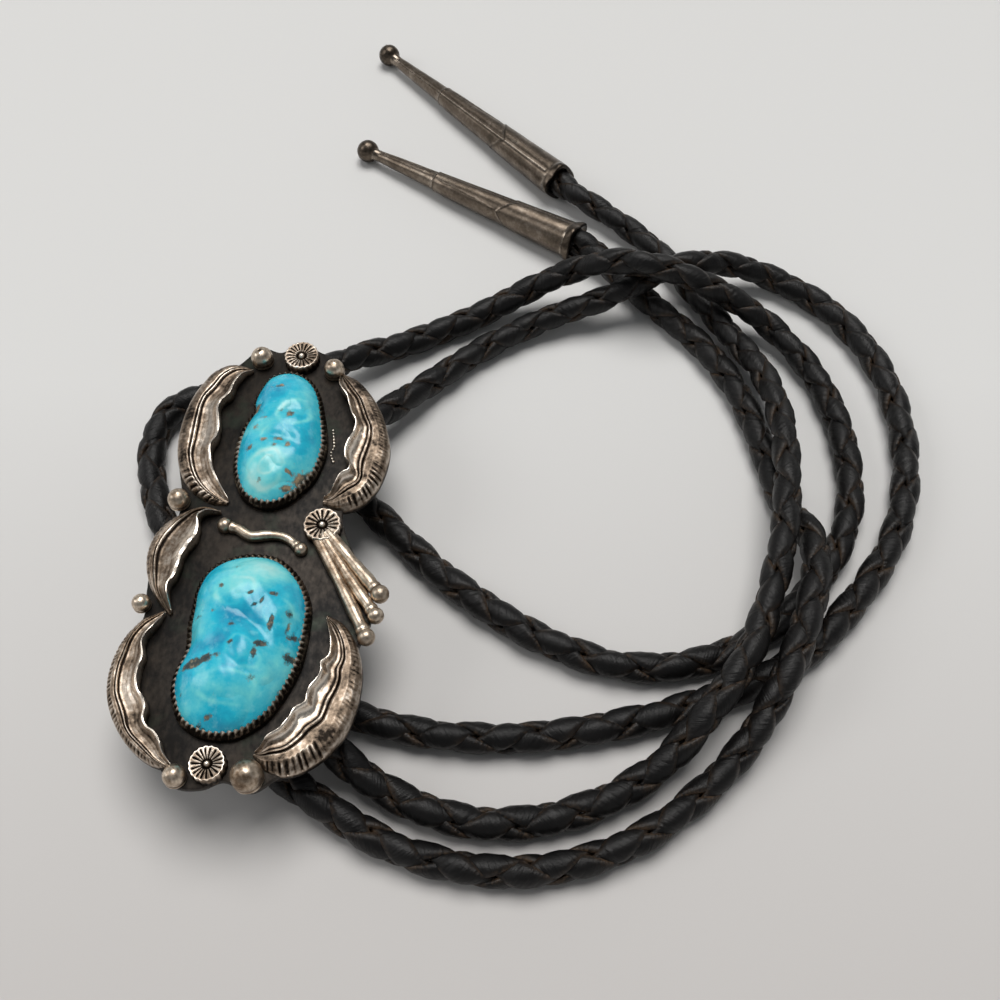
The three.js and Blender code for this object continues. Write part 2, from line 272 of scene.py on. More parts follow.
def mark_wear(mesh: bpy.types.Mesh, radius: float, rounds: int = 2) -> None:
    """Stores on each vertex how far it stands proud: 0 in a groove, 0.5 on a flat, 1 on an edge.

    Args:
        mesh: The finished mesh.
        radius: The bend, in metres, that counts as fully proud.
        rounds: How many times the values are spread to the neighbours.
    """
    count = len(mesh.vertices)
    co, normal = np.zeros(count * 3), np.zeros(count * 3)
    mesh.vertices.foreach_get("co", co)
    mesh.vertex_normals.foreach_get("vector", normal)
    co, normal = co.reshape(-1, 3), normal.reshape(-1, 3)
    pairs = np.zeros(len(mesh.edges) * 2, int)
    mesh.edges.foreach_get("vertices", pairs)
    a, b = pairs.reshape(-1, 2).T

    def spread(values: Array) -> Array:
        """Averages over each vertex's neighbours.

        Args:
            values: One number or row for each vertex.

        Returns:
            The neighbours' mean, in the same shape.
        """
        total, share = np.zeros_like(values), np.zeros(count)
        for one, other in ((a, b), (b, a)):
            np.add.at(total, one, values[other])
            np.add.at(share, one, 1)
        return total / np.maximum(share, 1).reshape(-1, *[1] * (values.ndim - 1))

    lengths = np.sum((co[a] - co[b]) ** 2, axis=1)
    reach, share = np.zeros(count), np.zeros(count)
    for one in (a, b):
        np.add.at(reach, one, lengths)
        np.add.at(share, one, 1)
    bend = 2 * np.sum((co - spread(co)) * normal, axis=1) / np.maximum(reach / np.maximum(share, 1), 1e-12)
    wear = np.clip(0.5 + 0.5 * bend * radius, 0, 1)
    for _ in range(rounds):
        wear = 0.5 * wear + 0.5 * spread(wear)
    store(mesh, "wear", wear)


def store(mesh: bpy.types.Mesh, name: str, values: Array) -> None:
    """Stores one number for each vertex, for a finish to read."""
    layer = mesh.attributes.new(name, "FLOAT", "POINT")
    layer.data.foreach_set("value", np.asarray(values, np.float32))


# ------------------------------------------------------------------ finishes
class NodeBench:
    """A material's node tree, and short ways to add to it."""

    def __init__(self, name: str) -> None:
        """Starts a material with its shader.

        Args:
            name: The material's name.
        """
        self.material = bpy.data.materials.new(name)
        self.material.use_nodes = True
        self.tree = self.material.node_tree
        self.shader = self.tree.nodes["Principled BSDF"]

    def add(self, kind: str, inputs: dict | None = None, **settings: object) -> bpy.types.Node:
        """Adds a node.

        Args:
            kind: The node's type.
            inputs: Its input sockets by name or number: a value, or an output socket to link.
            settings: Its own properties.

        Returns:
            The node.
        """
        node = self.tree.nodes.new(kind)
        for key, value in settings.items():
            setattr(node, key, value)
        for key, value in (inputs or {}).items():
            self.feed(node.inputs[key], value)
        return node

    def feed(self, socket: bpy.types.NodeSocket, value: object) -> None:
        """Links an output socket to a socket, or sets its value.

        Args:
            socket: The input socket.
            value: An output socket, or the value.
        """
        if isinstance(value, bpy.types.NodeSocket):
            self.tree.links.new(value, socket)
        else:
            socket.default_value = value

    def sum(self, operation: str, *values: object, clamp: bool = False) -> bpy.types.NodeSocket:
        """The result of a Math node."""
        node = self.add("ShaderNodeMath", dict(enumerate(values)), operation=operation, use_clamp=clamp)
        return node.outputs[0]

    def grain(
        self, size: float, detail: float = 4, stretch: Sequence[float] = (1, 1, 1), rough: float = 0.6
    ) -> bpy.types.NodeSocket:
        """Adds noise on Object coordinates.

        Args:
            size: The size of its spots, in metres.
            detail: How many finer layers it has.
            stretch: The scale along each axis before it is read.
            rough: How strong each finer layer is.

        Returns:
            The noise, 0 to 1.
        """
        spot = self.add("ShaderNodeTexCoord").outputs["Object"]
        if tuple(stretch) != (1, 1, 1):
            spot = self.add("ShaderNodeMapping", {"Vector": spot, "Scale": stretch}).outputs[0]
        return self.noise(spot, 0.5 / size, detail, rough)

    def noise(
        self, spot: bpy.types.NodeSocket, scale: float, detail: float, rough: float
    ) -> bpy.types.NodeSocket:
        """Adds noise on any coordinates.

        Args:
            spot: The coordinates.
            scale: How many spots there are in one unit of them.
            detail: How many finer layers it has.
            rough: How strong each finer layer is.

        Returns:
            The noise, 0 to 1.
        """
        inputs = {"Vector": spot, "Scale": scale, "Detail": detail, "Roughness": rough}
        return self.add("ShaderNodeTexNoise", inputs).outputs["Fac"]

    def number(self, name: str) -> bpy.types.NodeSocket:
        """A number stored on the piece's vertices."""
        return self.add("ShaderNodeAttribute", attribute_name=name).outputs["Fac"]

    def ramp(
        self, value: bpy.types.NodeSocket, stops: Sequence[tuple[float, Sequence[float]]]
    ) -> bpy.types.NodeSocket:
        """Picks a colour by a number.

        Args:
            value: The number.
            stops: Places from 0 to 1, each with its colour.

        Returns:
            The colour.
        """
        node = self.add("ShaderNodeValToRGB", {"Fac": value})
        marks = node.color_ramp.elements
        while len(marks) < len(stops):
            marks.new(0.5)
        for mark, (place, colour) in zip(marks, stops):
            mark.position = place
            mark.color = (*colour, 1)
        return node.outputs["Color"]

    def span(
        self, value: bpy.types.NodeSocket, low: float, high: float, out_low: float, out_high: float
    ) -> bpy.types.NodeSocket:
        """Carries a number from one span to another, and holds it inside.

        Args:
            value: The number.
            low: The start of its span.
            high: The end of its span.
            out_low: What the start becomes.
            out_high: What the end becomes.

        Returns:
            The carried number.
        """
        node = self.add(
            "ShaderNodeMapRange",
            {"Value": value, "From Min": low, "From Max": high, "To Min": out_low, "To Max": out_high},
        )
        return node.outputs["Result"]

    def blend(self, share: object, first: object, second: object) -> bpy.types.NodeSocket:
        """A mix of two colours."""
        node = self.add("ShaderNodeMix", {"Factor": share, 6: first, 7: second}, data_type="RGBA")
        return node.outputs[2]

    def relief(self, height: bpy.types.NodeSocket, depth: float, strength: float = 1.0) -> None:
        """Adds fine bump to the shader, over what it has.

        Args:
            height: The height field, 0 to 1.
            depth: How deep it goes, in metres.
            strength: How much of it is felt.
        """
        node = self.add("ShaderNodeBump", {"Height": height, "Distance": depth, "Strength": strength})
        socket = self.shader.inputs["Normal"]
        if socket.is_linked:
            self.feed(node.inputs["Normal"], socket.links[0].from_socket)
        self.feed(socket, node.outputs[0])


@dataclass(frozen=True)
class AgedSilver:
    """Silver that is dark in its hollows and polished where it stands proud."""

    name: str
    tarnish: tuple[float, float, float] = (0.022, 0.017, 0.0135)
    worn: tuple[float, float, float] = (0.250, 0.190, 0.140)
    bright: tuple[float, float, float] = (0.88, 0.79, 0.685)
    shift: float = 0.0  # added to the wear: more is brighter
    stain: float = 0.68  # how strongly the tarnish is blotched
    roughness: tuple[float, float] = (0.55, 0.30)  # of the tarnish and of the polished metal
    steps: tuple[float, float, float, float] = (0.22, 0.47, 0.70, 0.90)  # wear at each colour

    def make(self) -> bpy.types.Material:
        """Builds the material.

        Returns:
            The material.
        """
        bench = NodeBench(self.name)
        blotch = bench.sum("SUBTRACT", bench.grain(1.3 * MM, 6), 0.5)
        speck = bench.sum("SUBTRACT", bench.grain(0.22 * MM, 3), 0.5)
        blotch = bench.sum("MULTIPLY", blotch, self.stain * 1.6)
        speck = bench.sum("MULTIPLY", speck, self.stain * 0.8)
        # the polish numbers are rubbing, and on the leaves' walls under the raised edge painted shade
        wear = bench.sum("ADD", bench.number("wear"), bench.number("polish"))
        wear = bench.sum("ADD", wear, self.shift)
        wear = bench.sum("ADD", bench.sum("ADD", wear, blotch), speck, clamp=True)
        middle = tuple(0.5 * (a + b) for a, b in zip(self.worn, self.bright))
        stops = list(zip(self.steps, (self.tarnish, self.worn, middle, self.bright)))
        bench.feed(bench.shader.inputs["Base Color"], bench.ramp(wear, stops))
        bench.shader.inputs["Metallic"].default_value = 1.0
        rough = bench.span(wear, 0.2, 0.85, *self.roughness)
        rough = bench.sum("ADD", rough, bench.sum("MULTIPLY", speck, 0.5), clamp=True)
        bench.feed(bench.shader.inputs["Roughness"], rough)
        bench.relief(bench.grain(0.6 * MM, 4), 0.04 * MM, 0.6)
        bench.relief(bench.grain(0.08 * MM, 3, (1, 3.0, 1)), 0.008 * MM, 0.6)
        return bench.material


@dataclass(frozen=True)
class OxidisedField:
    """The blackened flat of the plate, rubbed a little lighter, with a hint of green."""

    name: str = "oxidised field"
    dark: tuple[float, float, float] = (0.0050, 0.0039, 0.0030)
    rubbed: tuple[float, float, float] = (0.032, 0.0245, 0.0182)
    green: tuple[float, float, float] = (0.024, 0.033, 0.022)
    edge: tuple[float, float, float] = (0.42, 0.36, 0.30)

    def make(self) -> bpy.types.Material:
        """Builds the material.

        Returns:
            The material.
        """
        bench = NodeBench(self.name)
        cloud = bench.grain(4.0 * MM, 5)
        brushed = bench.grain(0.30 * MM, 4, (1, 0.6, 1))
        share = bench.sum("ADD", cloud, bench.sum("MULTIPLY", bench.sum("SUBTRACT", brushed, 0.5), 0.7))
        colour = bench.ramp(share, [(0.36, self.dark), (0.70, self.rubbed)])
        hint = bench.span(bench.grain(2.2 * MM, 3), 0.56, 0.70, 0.0, 0.7)
        colour = bench.blend(hint, colour, (*self.green, 1))
        edge = bench.span(bench.number("wear"), 0.62, 0.95, 0.0, 1.0)
        bench.feed(bench.shader.inputs["Base Color"], bench.blend(edge, colour, (*self.edge, 1)))
        bench.shader.inputs["Metallic"].default_value = 0.6
        bench.feed(bench.shader.inputs["Roughness"], bench.span(brushed, 0.3, 0.7, 0.62, 0.48))
        bench.relief(brushed, 0.02 * MM, 0.6)
        bench.relief(bench.grain(1.6 * MM, 4), 0.06 * MM, 0.5)
        return bench.material


@dataclass(frozen=True)
class Turquoise:
    """Polished turquoise, clouded pale and green, with brown and black matrix in its pits, and with painted
    highlight and painted shade carried in its stored tint.
    """

    name: str = "turquoise"
    deep: tuple[float, float, float] = (0.003, 0.275, 0.470)
    sky: tuple[float, float, float] = (0.018, 0.490, 0.665)
    pale: tuple[float, float, float] = (0.165, 0.700, 0.740)
    palest: tuple[float, float, float] = (0.420, 0.800, 0.780)
    streak: tuple[float, float, float] = (0.310, 0.780, 0.820)
    stone: tuple[float, float, float] = (0.300, 0.225, 0.125)
    brown: tuple[float, float, float] = (0.075, 0.058, 0.036)
    black: tuple[float, float, float] = (0.014, 0.014, 0.014)

    def make(self) -> bpy.types.Material:
        """Builds the material.

        Returns:
            The material.
        """
        bench = NodeBench(self.name)
        cloud = bench.grain(3.4 * MM, 5, rough=0.55)
        fleck = bench.grain(0.5 * MM, 5, rough=0.65)
        tone = bench.sum("ADD", cloud, bench.sum("MULTIPLY", bench.sum("SUBTRACT", fleck, 0.5), 0.35))
        # the stored numbers add the stone's own clouding, and painted light: paler on swellings and swirl
        # lines as painted highlight, deeper in hollows as painted shade
        tone = bench.sum("ADD", tone, bench.sum("MULTIPLY", bench.number("tint_and_painted_light"), 1.25))
        stops = [(0.28, self.deep), (0.50, self.sky), (0.74, self.pale), (1.0, self.palest)]
        colour = bench.ramp(tone, stops)
        streak = bench.span(bench.grain(0.75 * MM, 4, (1.1, 0.85, 1.0)), 0.56, 0.72, 0.0, 0.34)
        colour = bench.blend(streak, colour, (*self.streak, 1))
        ragged = bench.sum("SUBTRACT", bench.grain(0.42 * MM, 7, rough=0.75), 0.5)
        matrix = bench.sum("ADD", bench.number("matrix"), bench.sum("MULTIPLY", ragged, 1.9))
        peppered = bench.span(bench.grain(0.30 * MM, 4, rough=0.6), 0.70, 0.80, 0.0, 0.5)
        matrix = bench.sum("MAXIMUM", matrix, peppered)
        mottle = bench.grain(0.42 * MM, 4, rough=0.7)
        shade = bench.ramp(mottle, [(0.43, self.black), (0.54, self.brown), (0.68, self.stone)])
        share = bench.span(matrix, 0.30, 0.56, 0.0, 0.95)
        bench.feed(bench.shader.inputs["Base Color"], bench.blend(share, colour, shade))
        bench.feed(bench.shader.inputs["Roughness"], bench.span(matrix, 0.34, 0.5, 0.26, 0.6))
        bench.relief(bench.span(matrix, 0.30, 0.6, 1.0, 0.0), 0.07 * MM, 0.7)
        crumple = bench.sum("ABSOLUTE", bench.sum("SUBTRACT", bench.grain(2.3 * MM, 1), 0.5))
        bench.relief(crumple, 1.3 * MM, 0.48)
        bench.relief(bench.grain(0.5 * MM, 3), 0.04 * MM, 0.5)
        return bench.material


@dataclass(frozen=True)
class BraidLeather:
    """Black leather lace: creased across, with brown raw edges."""

    name: str = "braid leather"
    black: tuple[float, float, float] = (0.0021, 0.0019, 0.0020)
    grey: tuple[float, float, float] = (0.0066, 0.0060, 0.0059)
    raw: tuple[float, float, float] = (0.075, 0.048, 0.029)

    def make(self) -> bpy.types.Material:
        """Builds the material; the UV runs along a lace in millimetres and round its section.

        Returns:
            The material.
        """
        bench = NodeBench(self.name)
        uv = bench.add("ShaderNodeUVMap", uv_map="UVMap").outputs[0]
        split = bench.add("ShaderNodeSeparateXYZ", {0: uv})
        turn = bench.sum("MULTIPLY", split.outputs[1], 2 * math.pi)
        edge = bench.sum("POWER", bench.sum("ABSOLUTE", bench.sum("COSINE", turn)), 5.0)
        cloud = bench.grain(1.1 * MM, 6)
        fibre = bench.grain(0.16 * MM, 4)
        colour = bench.blend(bench.span(cloud, 0.35, 0.7, 0.0, 1.0), (*self.black, 1), (*self.grey, 1))
        rubbed = bench.span(bench.sum("ADD", cloud, fibre), 0.88, 1.14, 0.0, 0.85)
        share = bench.sum("MULTIPLY", edge, rubbed, clamp=True)
        bench.feed(bench.shader.inputs["Base Color"], bench.blend(share, colour, (*self.raw, 1)))
        bench.feed(bench.shader.inputs["Roughness"], bench.span(cloud, 0.3, 0.7, 0.46, 0.32))
        bench.shader.inputs["Specular IOR Level"].default_value = 0.27
        for stretch, detail, rough, depth, strength in (
            ((2.2, 1.6, 1.0), 5, 0.62, 0.22 * MM, 0.9),  # creases across the lace
            ((7.0, 3.0, 1.0), 3, 0.6, 0.07 * MM, 0.8),  # fine hatching
        ):
            spot = bench.add("ShaderNodeMapping", {"Vector": uv, "Scale": stretch}).outputs[0]
            bench.relief(bench.noise(spot, 1.0, detail, rough), depth, strength)
        bench.relief(fibre, 0.05 * MM, 0.6)
        bench.relief(bench.grain(0.05 * MM, 3), 0.02 * MM, 0.5)
        return bench.material


@dataclass(frozen=True)
class TableTop:
    """The pale matt sheet that the tie lies on; its colour holds painted shade, darker and warmer towards the
    viewer.
    """

    name: str = "table sheet"
    # near is the sheet's colour with painted shade, darker and warmer towards the viewer; far is its lit
    # colour
    near: tuple[float, float, float] = (0.555, 0.532, 0.518)
    far: tuple[float, float, float] = (0.724, 0.721, 0.711)
    painted_shade_fades_at: tuple[float, float] = (-0.105, -0.005)  # where the painted shade near the viewer gives way to the far colour, along +Y in metres

    def make(self) -> bpy.types.Material:
        """Builds the material.

        Returns:
            The material.
        """
        bench = NodeBench(self.name)
        where = bench.add("ShaderNodeSeparateXYZ", {0: bench.add("ShaderNodeTexCoord").outputs["Object"]})
        # painted shade: the sheet darkens and warms towards the viewer, along +Y
        share = bench.span(where.outputs[1], *self.painted_shade_fades_at, 0.0, 1.0)
        colour = bench.blend(share, (*self.near, 1), (*self.far, 1))
        bench.feed(bench.shader.inputs["Base Color"], colour)
        bench.shader.inputs["Roughness"].default_value = 0.85
        bench.shader.inputs["Specular IOR Level"].default_value = 0.25
        bench.relief(bench.grain(0.4 * MM, 4), 0.01 * MM, 0.4)
        return bench.material


class Finishes:
    """The finishes of the tie, each made once."""

    def __init__(self) -> None:
        """Makes every material."""
        self.silver = AgedSilver("aged silver").make()
        self.granule = AgedSilver(
            "granule silver", worn=(0.225, 0.160, 0.108), bright=(0.80, 0.69, 0.56), shift=-0.08, stain=0.62
        ).make()
        self.rim = AgedSilver("bezel silver", shift=-0.06).make()
        self.tip = AgedSilver(
            "tip silver",
            tarnish=(0.026, 0.021, 0.017),
            worn=(0.145, 0.116, 0.090),
            bright=(0.52, 0.45, 0.38),
            stain=0.38,
            roughness=(0.36, 0.22),
        ).make()
        self.clip = AgedSilver(
            "clip metal",
            tarnish=(0.08, 0.075, 0.07),
            worn=(0.32, 0.305, 0.28),
            bright=(0.66, 0.64, 0.60),
            shift=0.05,
            stain=0.3,
        ).make()
        self.field = OxidisedField().make()
        self.upper_turquoise = Turquoise(
            "upper turquoise",
            stone=(0.440, 0.290, 0.150),
            brown=(0.230, 0.155, 0.085),
            black=(0.040, 0.034, 0.026),
        ).make()
        self.lower_turquoise = Turquoise("lower turquoise").make()
        self.leather = BraidLeather().make()
        self.table = TableTop().make()


class Slot(Enum):
    """The record's material slots."""

    SILVER = "silver"
    TURQUOISE = "turquoise"
    CLIP = "clip_metal"
    LEATHER = "leather"
    TIP = "tip_silver"


def finished(
    bm: bmesh.types.BMesh,
    name: str,
    finish: bpy.types.Material,
    stands_for: str,
    wear_radius: float = 0.35 * MM,
    flat_above: float = 60,
) -> bpy.types.Object:
    """Makes the piece's object and joins it to the frame.

    Args:
        bm: The piece's mesh, in place; it is freed.
        name: The piece's name.
        finish: Its material.
        stands_for: The CAD node that it replaces.
        wear_radius: The bend that counts as fully worn, in metres.
        flat_above: Edges bent by more than this many degrees stay sharp.

    Returns:
        The object.
    """
    bmesh.ops.recalc_face_normals(bm, faces=bm.faces)
    mesh = bpy.data.meshes.new(name)
    bm.to_mesh(mesh)
    bm.free()
    mesh.polygons.foreach_set("use_smooth", [True] * len(mesh.polygons))
    mesh.set_sharp_from_angle(angle=math.radians(flat_above))
    mark_wear(mesh, wear_radius)
    mesh.materials.append(finish)
    piece = bpy.data.objects.new(name, mesh)
    bpy.context.scene.collection.objects.link(piece)
    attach(piece, BODY)
    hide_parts(stands_for)
    log.info("%s: %d faces", name, len(mesh.polygons))
    return piece


# ------------------------------------------------------------------ the cord
@dataclass
class BraidedCord:
    """A round braid of four leather laces, laid along its route in loose loops."""

    diameter: float = 4.0 * MM
    pitch: float = 14.4 * MM  # one turn of a lace
    lace_width: float = 3.95 * MM
    lace_thickness: float = 1.02 * MM
    middle_radius: float = 1.13 * MM
    swing: float = 0.33 * MM  # how far a lace rises and dips as it goes over and under
    slope_radius: float = 1.55 * MM  # where a lace's slant along the cord is taken
    wrap_radius: float = 1.75 * MM  # where a lace's width is bent round the cord
    least_radius: float = 0.12 * MM  # how near the middle a lace may come
    twist: float = 2.6  # how far the whole braid turns each way along the cord, in radians
    rings: int = 1680
    sides: int = 12
    swell: float = 0.035  # how much thicker or thinner the braid runs
    # Centre of the cord in the layout drawing, from inside tip b to inside tip a.
    route: tuple[tuple[float, float, float], ...] = (
        # first tail: under the pile, down the inside of the loops, to the foot of the slide
        (9.2, 46.7, 2.93), (14.1, 43.5, 3.0), (19.0, 37.8, 2.0), (24.1, 31.6, 2.0), (29.2, 25.4, 2.0),
        (33.4, 17.5, 2.0), (35.9, 7.8, 2.0), (37.3, -1.0, 2.2), (39.6, -8.4, 4.7), (39.0, -14.6, 6.3),
        (36.6, -21.6, 6.3), (33.8, -27.4, 5.9), (29.6, -34.0, 3.2), (23.6, -40.2, 2.0), (14.0, -46.6, 2.0),
        (2.0, -49.4, 2.0), (-11.0, -47.1, 2.0), (-22.5, -40.6, 3.4), (-29.0, -36.0, 5.2),
        # left strand of the clip
        (-32.2, -28.0, 6.3), (-31.7, -17.5, 6.3), (-30.4, 0.5, 6.3), (-27.8, 13.6, 6.2),
        # upper strand: over the pile, down the right, back to the slide
        (-22.0, 20.6, 4.2), (-14.0, 25.2, 2.3), (-3.0, 31.0, 2.2), (5.0, 34.6, 4.2), (10.8, 35.6, 6.8),
        (16.0, 34.8, 9.4), (21.0, 33.6, 10.3), (26.6, 32.6, 8.9), (33.0, 31.0, 6.3), (39.4, 28.2, 3.0),
        (44.6, 20.6, 2.0), (47.1, 10.0, 2.0), (46.4, -2.0, 2.0), (42.0, -11.4, 2.0), (35.2, -18.6, 2.0),
        (26.6, -23.8, 2.0), (16.0, -25.2, 2.0), (5.0, -21.4, 2.0), (-6.6, -13.2, 2.0), (-14.2, -5.6, 2.0),
        (-21.0, 1.6, 2.0),
        # under the clip strands and round the left loop
        (-29.0, 9.2, 2.0), (-35.6, 14.4, 2.0), (-40.6, 16.2, 2.0), (-45.4, 14.1, 2.0), (-47.5, 9.0, 2.0),
        (-46.9, 2.6, 2.0), (-42.4, -8.2, 2.0), (-33.0, -20.4, 2.0), (-22.0, -28.9, 2.0),
        # lower strand: up the outside on the right, through the pile, back to the slide
        (-12.5, -32.8, 2.0), (0.0, -34.2, 2.0), (12.0, -32.9, 2.0), (24.0, -29.8, 2.0), (35.6, -24.6, 2.0),
        (45.0, -15.8, 2.0), (52.0, -5.6, 2.0), (55.4, 7.0, 2.0), (54.6, 20.6, 2.0), (49.6, 31.2, 2.0),
        (42.0, 37.6, 2.4), (35.2, 38.9, 4.4), (28.6, 37.6, 6.2), (22.0, 34.9, 6.2), (15.0, 31.9, 4.6),
        (7.4, 30.0, 2.8), (-2.0, 25.0, 2.0), (-9.6, 18.2, 2.6), (-15.8, 11.6, 4.2),
        # right strand of the clip
        (-21.4, 5.2, 6.1), (-25.1, 0.5, 6.3), (-26.4, -17.5, 6.3), (-25.8, -27.4, 6.3), (-20.8, -34.6, 5.2),
        # second tail: over the other strands on the right, under the pile, to tip a
        (-13.4, -40.3, 2.6), (-3.0, -44.0, 2.0), (8.0, -43.0, 2.0), (17.6, -38.4, 2.8), (24.2, -32.2, 5.9),
        (29.6, -25.0, 6.3), (33.2, -17.0, 6.3), (35.8, -8.6, 6.9), (37.4, 1.0, 6.9), (38.0, 10.5, 5.5),
        (36.9, 18.5, 4.2), (33.8, 26.8, 2.3), (29.0, 36.0, 2.0), (24.0, 44.6, 2.0), (18.4, 50.4, 2.4),
        (11.5, 56.3, 3.0), (7.6, 60.7, 2.93),
    )
    path: Path = field(init=False)

    def __post_init__(self) -> None:
        """Measures the route."""
        self.path = Path(to_frame(self.route))

    def _girth(self, distance: Array) -> Array:
        """Gives the braid's uneven thickness.

        Args:
            distance: How far along the cord each point is.

        Returns:
            The thickness at each point, as a share of the usual one.
        """
        share = distance / self.path.length
        waver = np.sin(31 * share + 0.6) * 0.6 + np.sin(73 * share + 2.0) * 0.4
        near_end = np.minimum(share, 1 - share) * self.path.length / MM
        ends = 1 - 0.06 * np.exp(-near_end / 36) + 0.11 * np.exp(-((near_end / 7) ** 4))
        return (1 + self.swell * waver) * ends

    def _lace(self, bm: bmesh.types.BMesh, hand: int, start: float) -> None:
        """Adds one lace.

        Args:
            bm: The mesh that takes it.
            hand: 1 if it winds to the left, -1 to the right.
            start: Its turn about the cord at the cord's first point, in radians.
        """

        def place(along: Array, round_: Array) -> Array:
            """Lays the lace's surface.

            Args:
                along: Each point's share along the lace.
                round_: Its share round the lace's section.

            Returns:
                One row of x, y, z for each point.
            """
            distance = along * self.path.length
            wind = 2 * math.pi * distance / self.pitch
            turn = hand * wind + start
            rise = hand * np.tanh(1.5 * np.cos(2 * turn)) / math.tanh(1.5) * self.swing
            girth = self._girth(distance)
            slope = math.atan(2 * math.pi * self.slope_radius / self.pitch)
            phase = 2 * math.pi * round_
            across = np.sign(np.cos(phase)) * np.abs(np.cos(phase)) ** 0.80
            out = np.sign(np.sin(phase)) * np.abs(np.sin(phase)) ** 0.55
            wander = 1 + 0.05 * np.sin(wind * 0.37 + start) + 0.03 * np.sin(wind * 1.13 + 2 * hand)
            across = across * self.lace_width / 2 * wander
            radius = self.middle_radius + rise + out * self.lace_thickness / 2
            radius = radius - 0.04 * (across / (self.lace_width / 2)) ** 2 * MM
            radius = np.maximum(radius, self.least_radius)
            where = np.clip(distance - across * math.sin(slope), 0, self.path.length)
            angle = turn + hand * across * math.cos(slope) / self.wrap_radius
            angle = angle + self.twist * np.sin(where * 23.0) + 0.35 * np.sin(where * 61.0)
            return self.path.around(where, angle, radius * girth)

        rolled_sheet(bm, self.rings, self.sides, place)

    def build(self, finish: bpy.types.Material) -> bpy.types.Object:
        """Makes the four laces as one piece.

        Args:
            finish: The laces' material.

        Returns:
            The braid.
        """
        bm = bmesh.new()
        bm.loops.layers.uv.new("UVMap")
        for hand, start in ((1, 0), (1, math.pi), (-1, 0), (-1, math.pi)):
            self._lace(bm, hand, start)
        layer = bm.loops.layers.uv.active
        for face in bm.faces:
            for loop in face.loops:
                loop[layer].uv.x *= self.path.length / MM
        for vert in bm.verts:
            vert.co.z = max(vert.co.z, TABLE_GAP)
        return finished(bm, "braided_cord", finish, "cord", flat_above=75)

    def declare(self) -> None:
        """Samples 460 points along the cord's line and does nothing with them.
        """
        line = self.path.at(np.linspace(0, self.path.length, 460))


# ------------------------------------------------------------------ the slide's silver
@dataclass
class BackPlate:
    """The flat sheet that everything on the slide is soldered to."""

    outline: tuple[Point, ...] = (
        (-5.8, 27.6), (-3.4, 30.2), (-0.6, 29.4), (1.8, 31.2), (4.4, 29.6), (6.6, 28.2), (8.4, 25.4),
        (12.4, 20.6), (13.8, 14.0), (12.6, 8.6), (9.6, 4.4), (10.2, 0.8), (12.6, -4.6), (14.0, -10.4),
        (12.6, -14.6), (12.0, -19.4), (11.6, -23.6), (9.2, -27.2), (5.0, -29.4), (2.4, -31.0),
        (-0.8, -29.8), (-3.0, -30.6), (-6.0, -30.4), (-8.2, -28.0), (-12.2, -25.0), (-14.1, -20.0),
        (-13.9, -14.8), (-12.6, -10.2), (-12.8, -7.4), (-12.8, -2.4), (-10.8, 2.4), (-10.8, 6.8),
        (-11.8, 11.4), (-11.8, 17.6), (-9.8, 23.4),
    )
    rounding: float = 0.16 * MM

    def build(self, finish: bpy.types.Material) -> bpy.types.Object:
        """Makes the plate: its outline filled, raised and rounded.

        Args:
            finish: Its material.

        Returns:
            The plate.
        """
        line = catmull_rom(self.outline, True, 7)
        spots = to_slide(np.hstack([line, np.zeros((len(line), 1))]))
        bm = bmesh.new()
        face = bm.faces.new([bm.verts.new(spot) for spot in spots])
        raised = bmesh.ops.extrude_face_region(bm, geom=[face])["geom"]
        top = [part for part in raised if isinstance(part, bmesh.types.BMVert)]
        bmesh.ops.translate(bm, verts=top, vec=(0, 0, PLATE_TOP * MM))
        rim = [edge for edge in bm.edges if abs(edge.verts[0].co.z - edge.verts[1].co.z) < 1e-7]
        bmesh.ops.bevel(
            bm, geom=rim, offset=self.rounding, segments=2, profile=0.5, affect="EDGES", material=-1
        )
        return finished(bm, "back_plate", finish, "slide", flat_above=40)


class Fringe(Enum):
    """How the outer band of a leaf is chased."""

    SLOTS = "deep slots at one end"
    ROPE = "slanted grooves all along"
    TICKS = "short strokes across"


RIB = 0.42  # where the midrib lies in the section below, as a share of the width


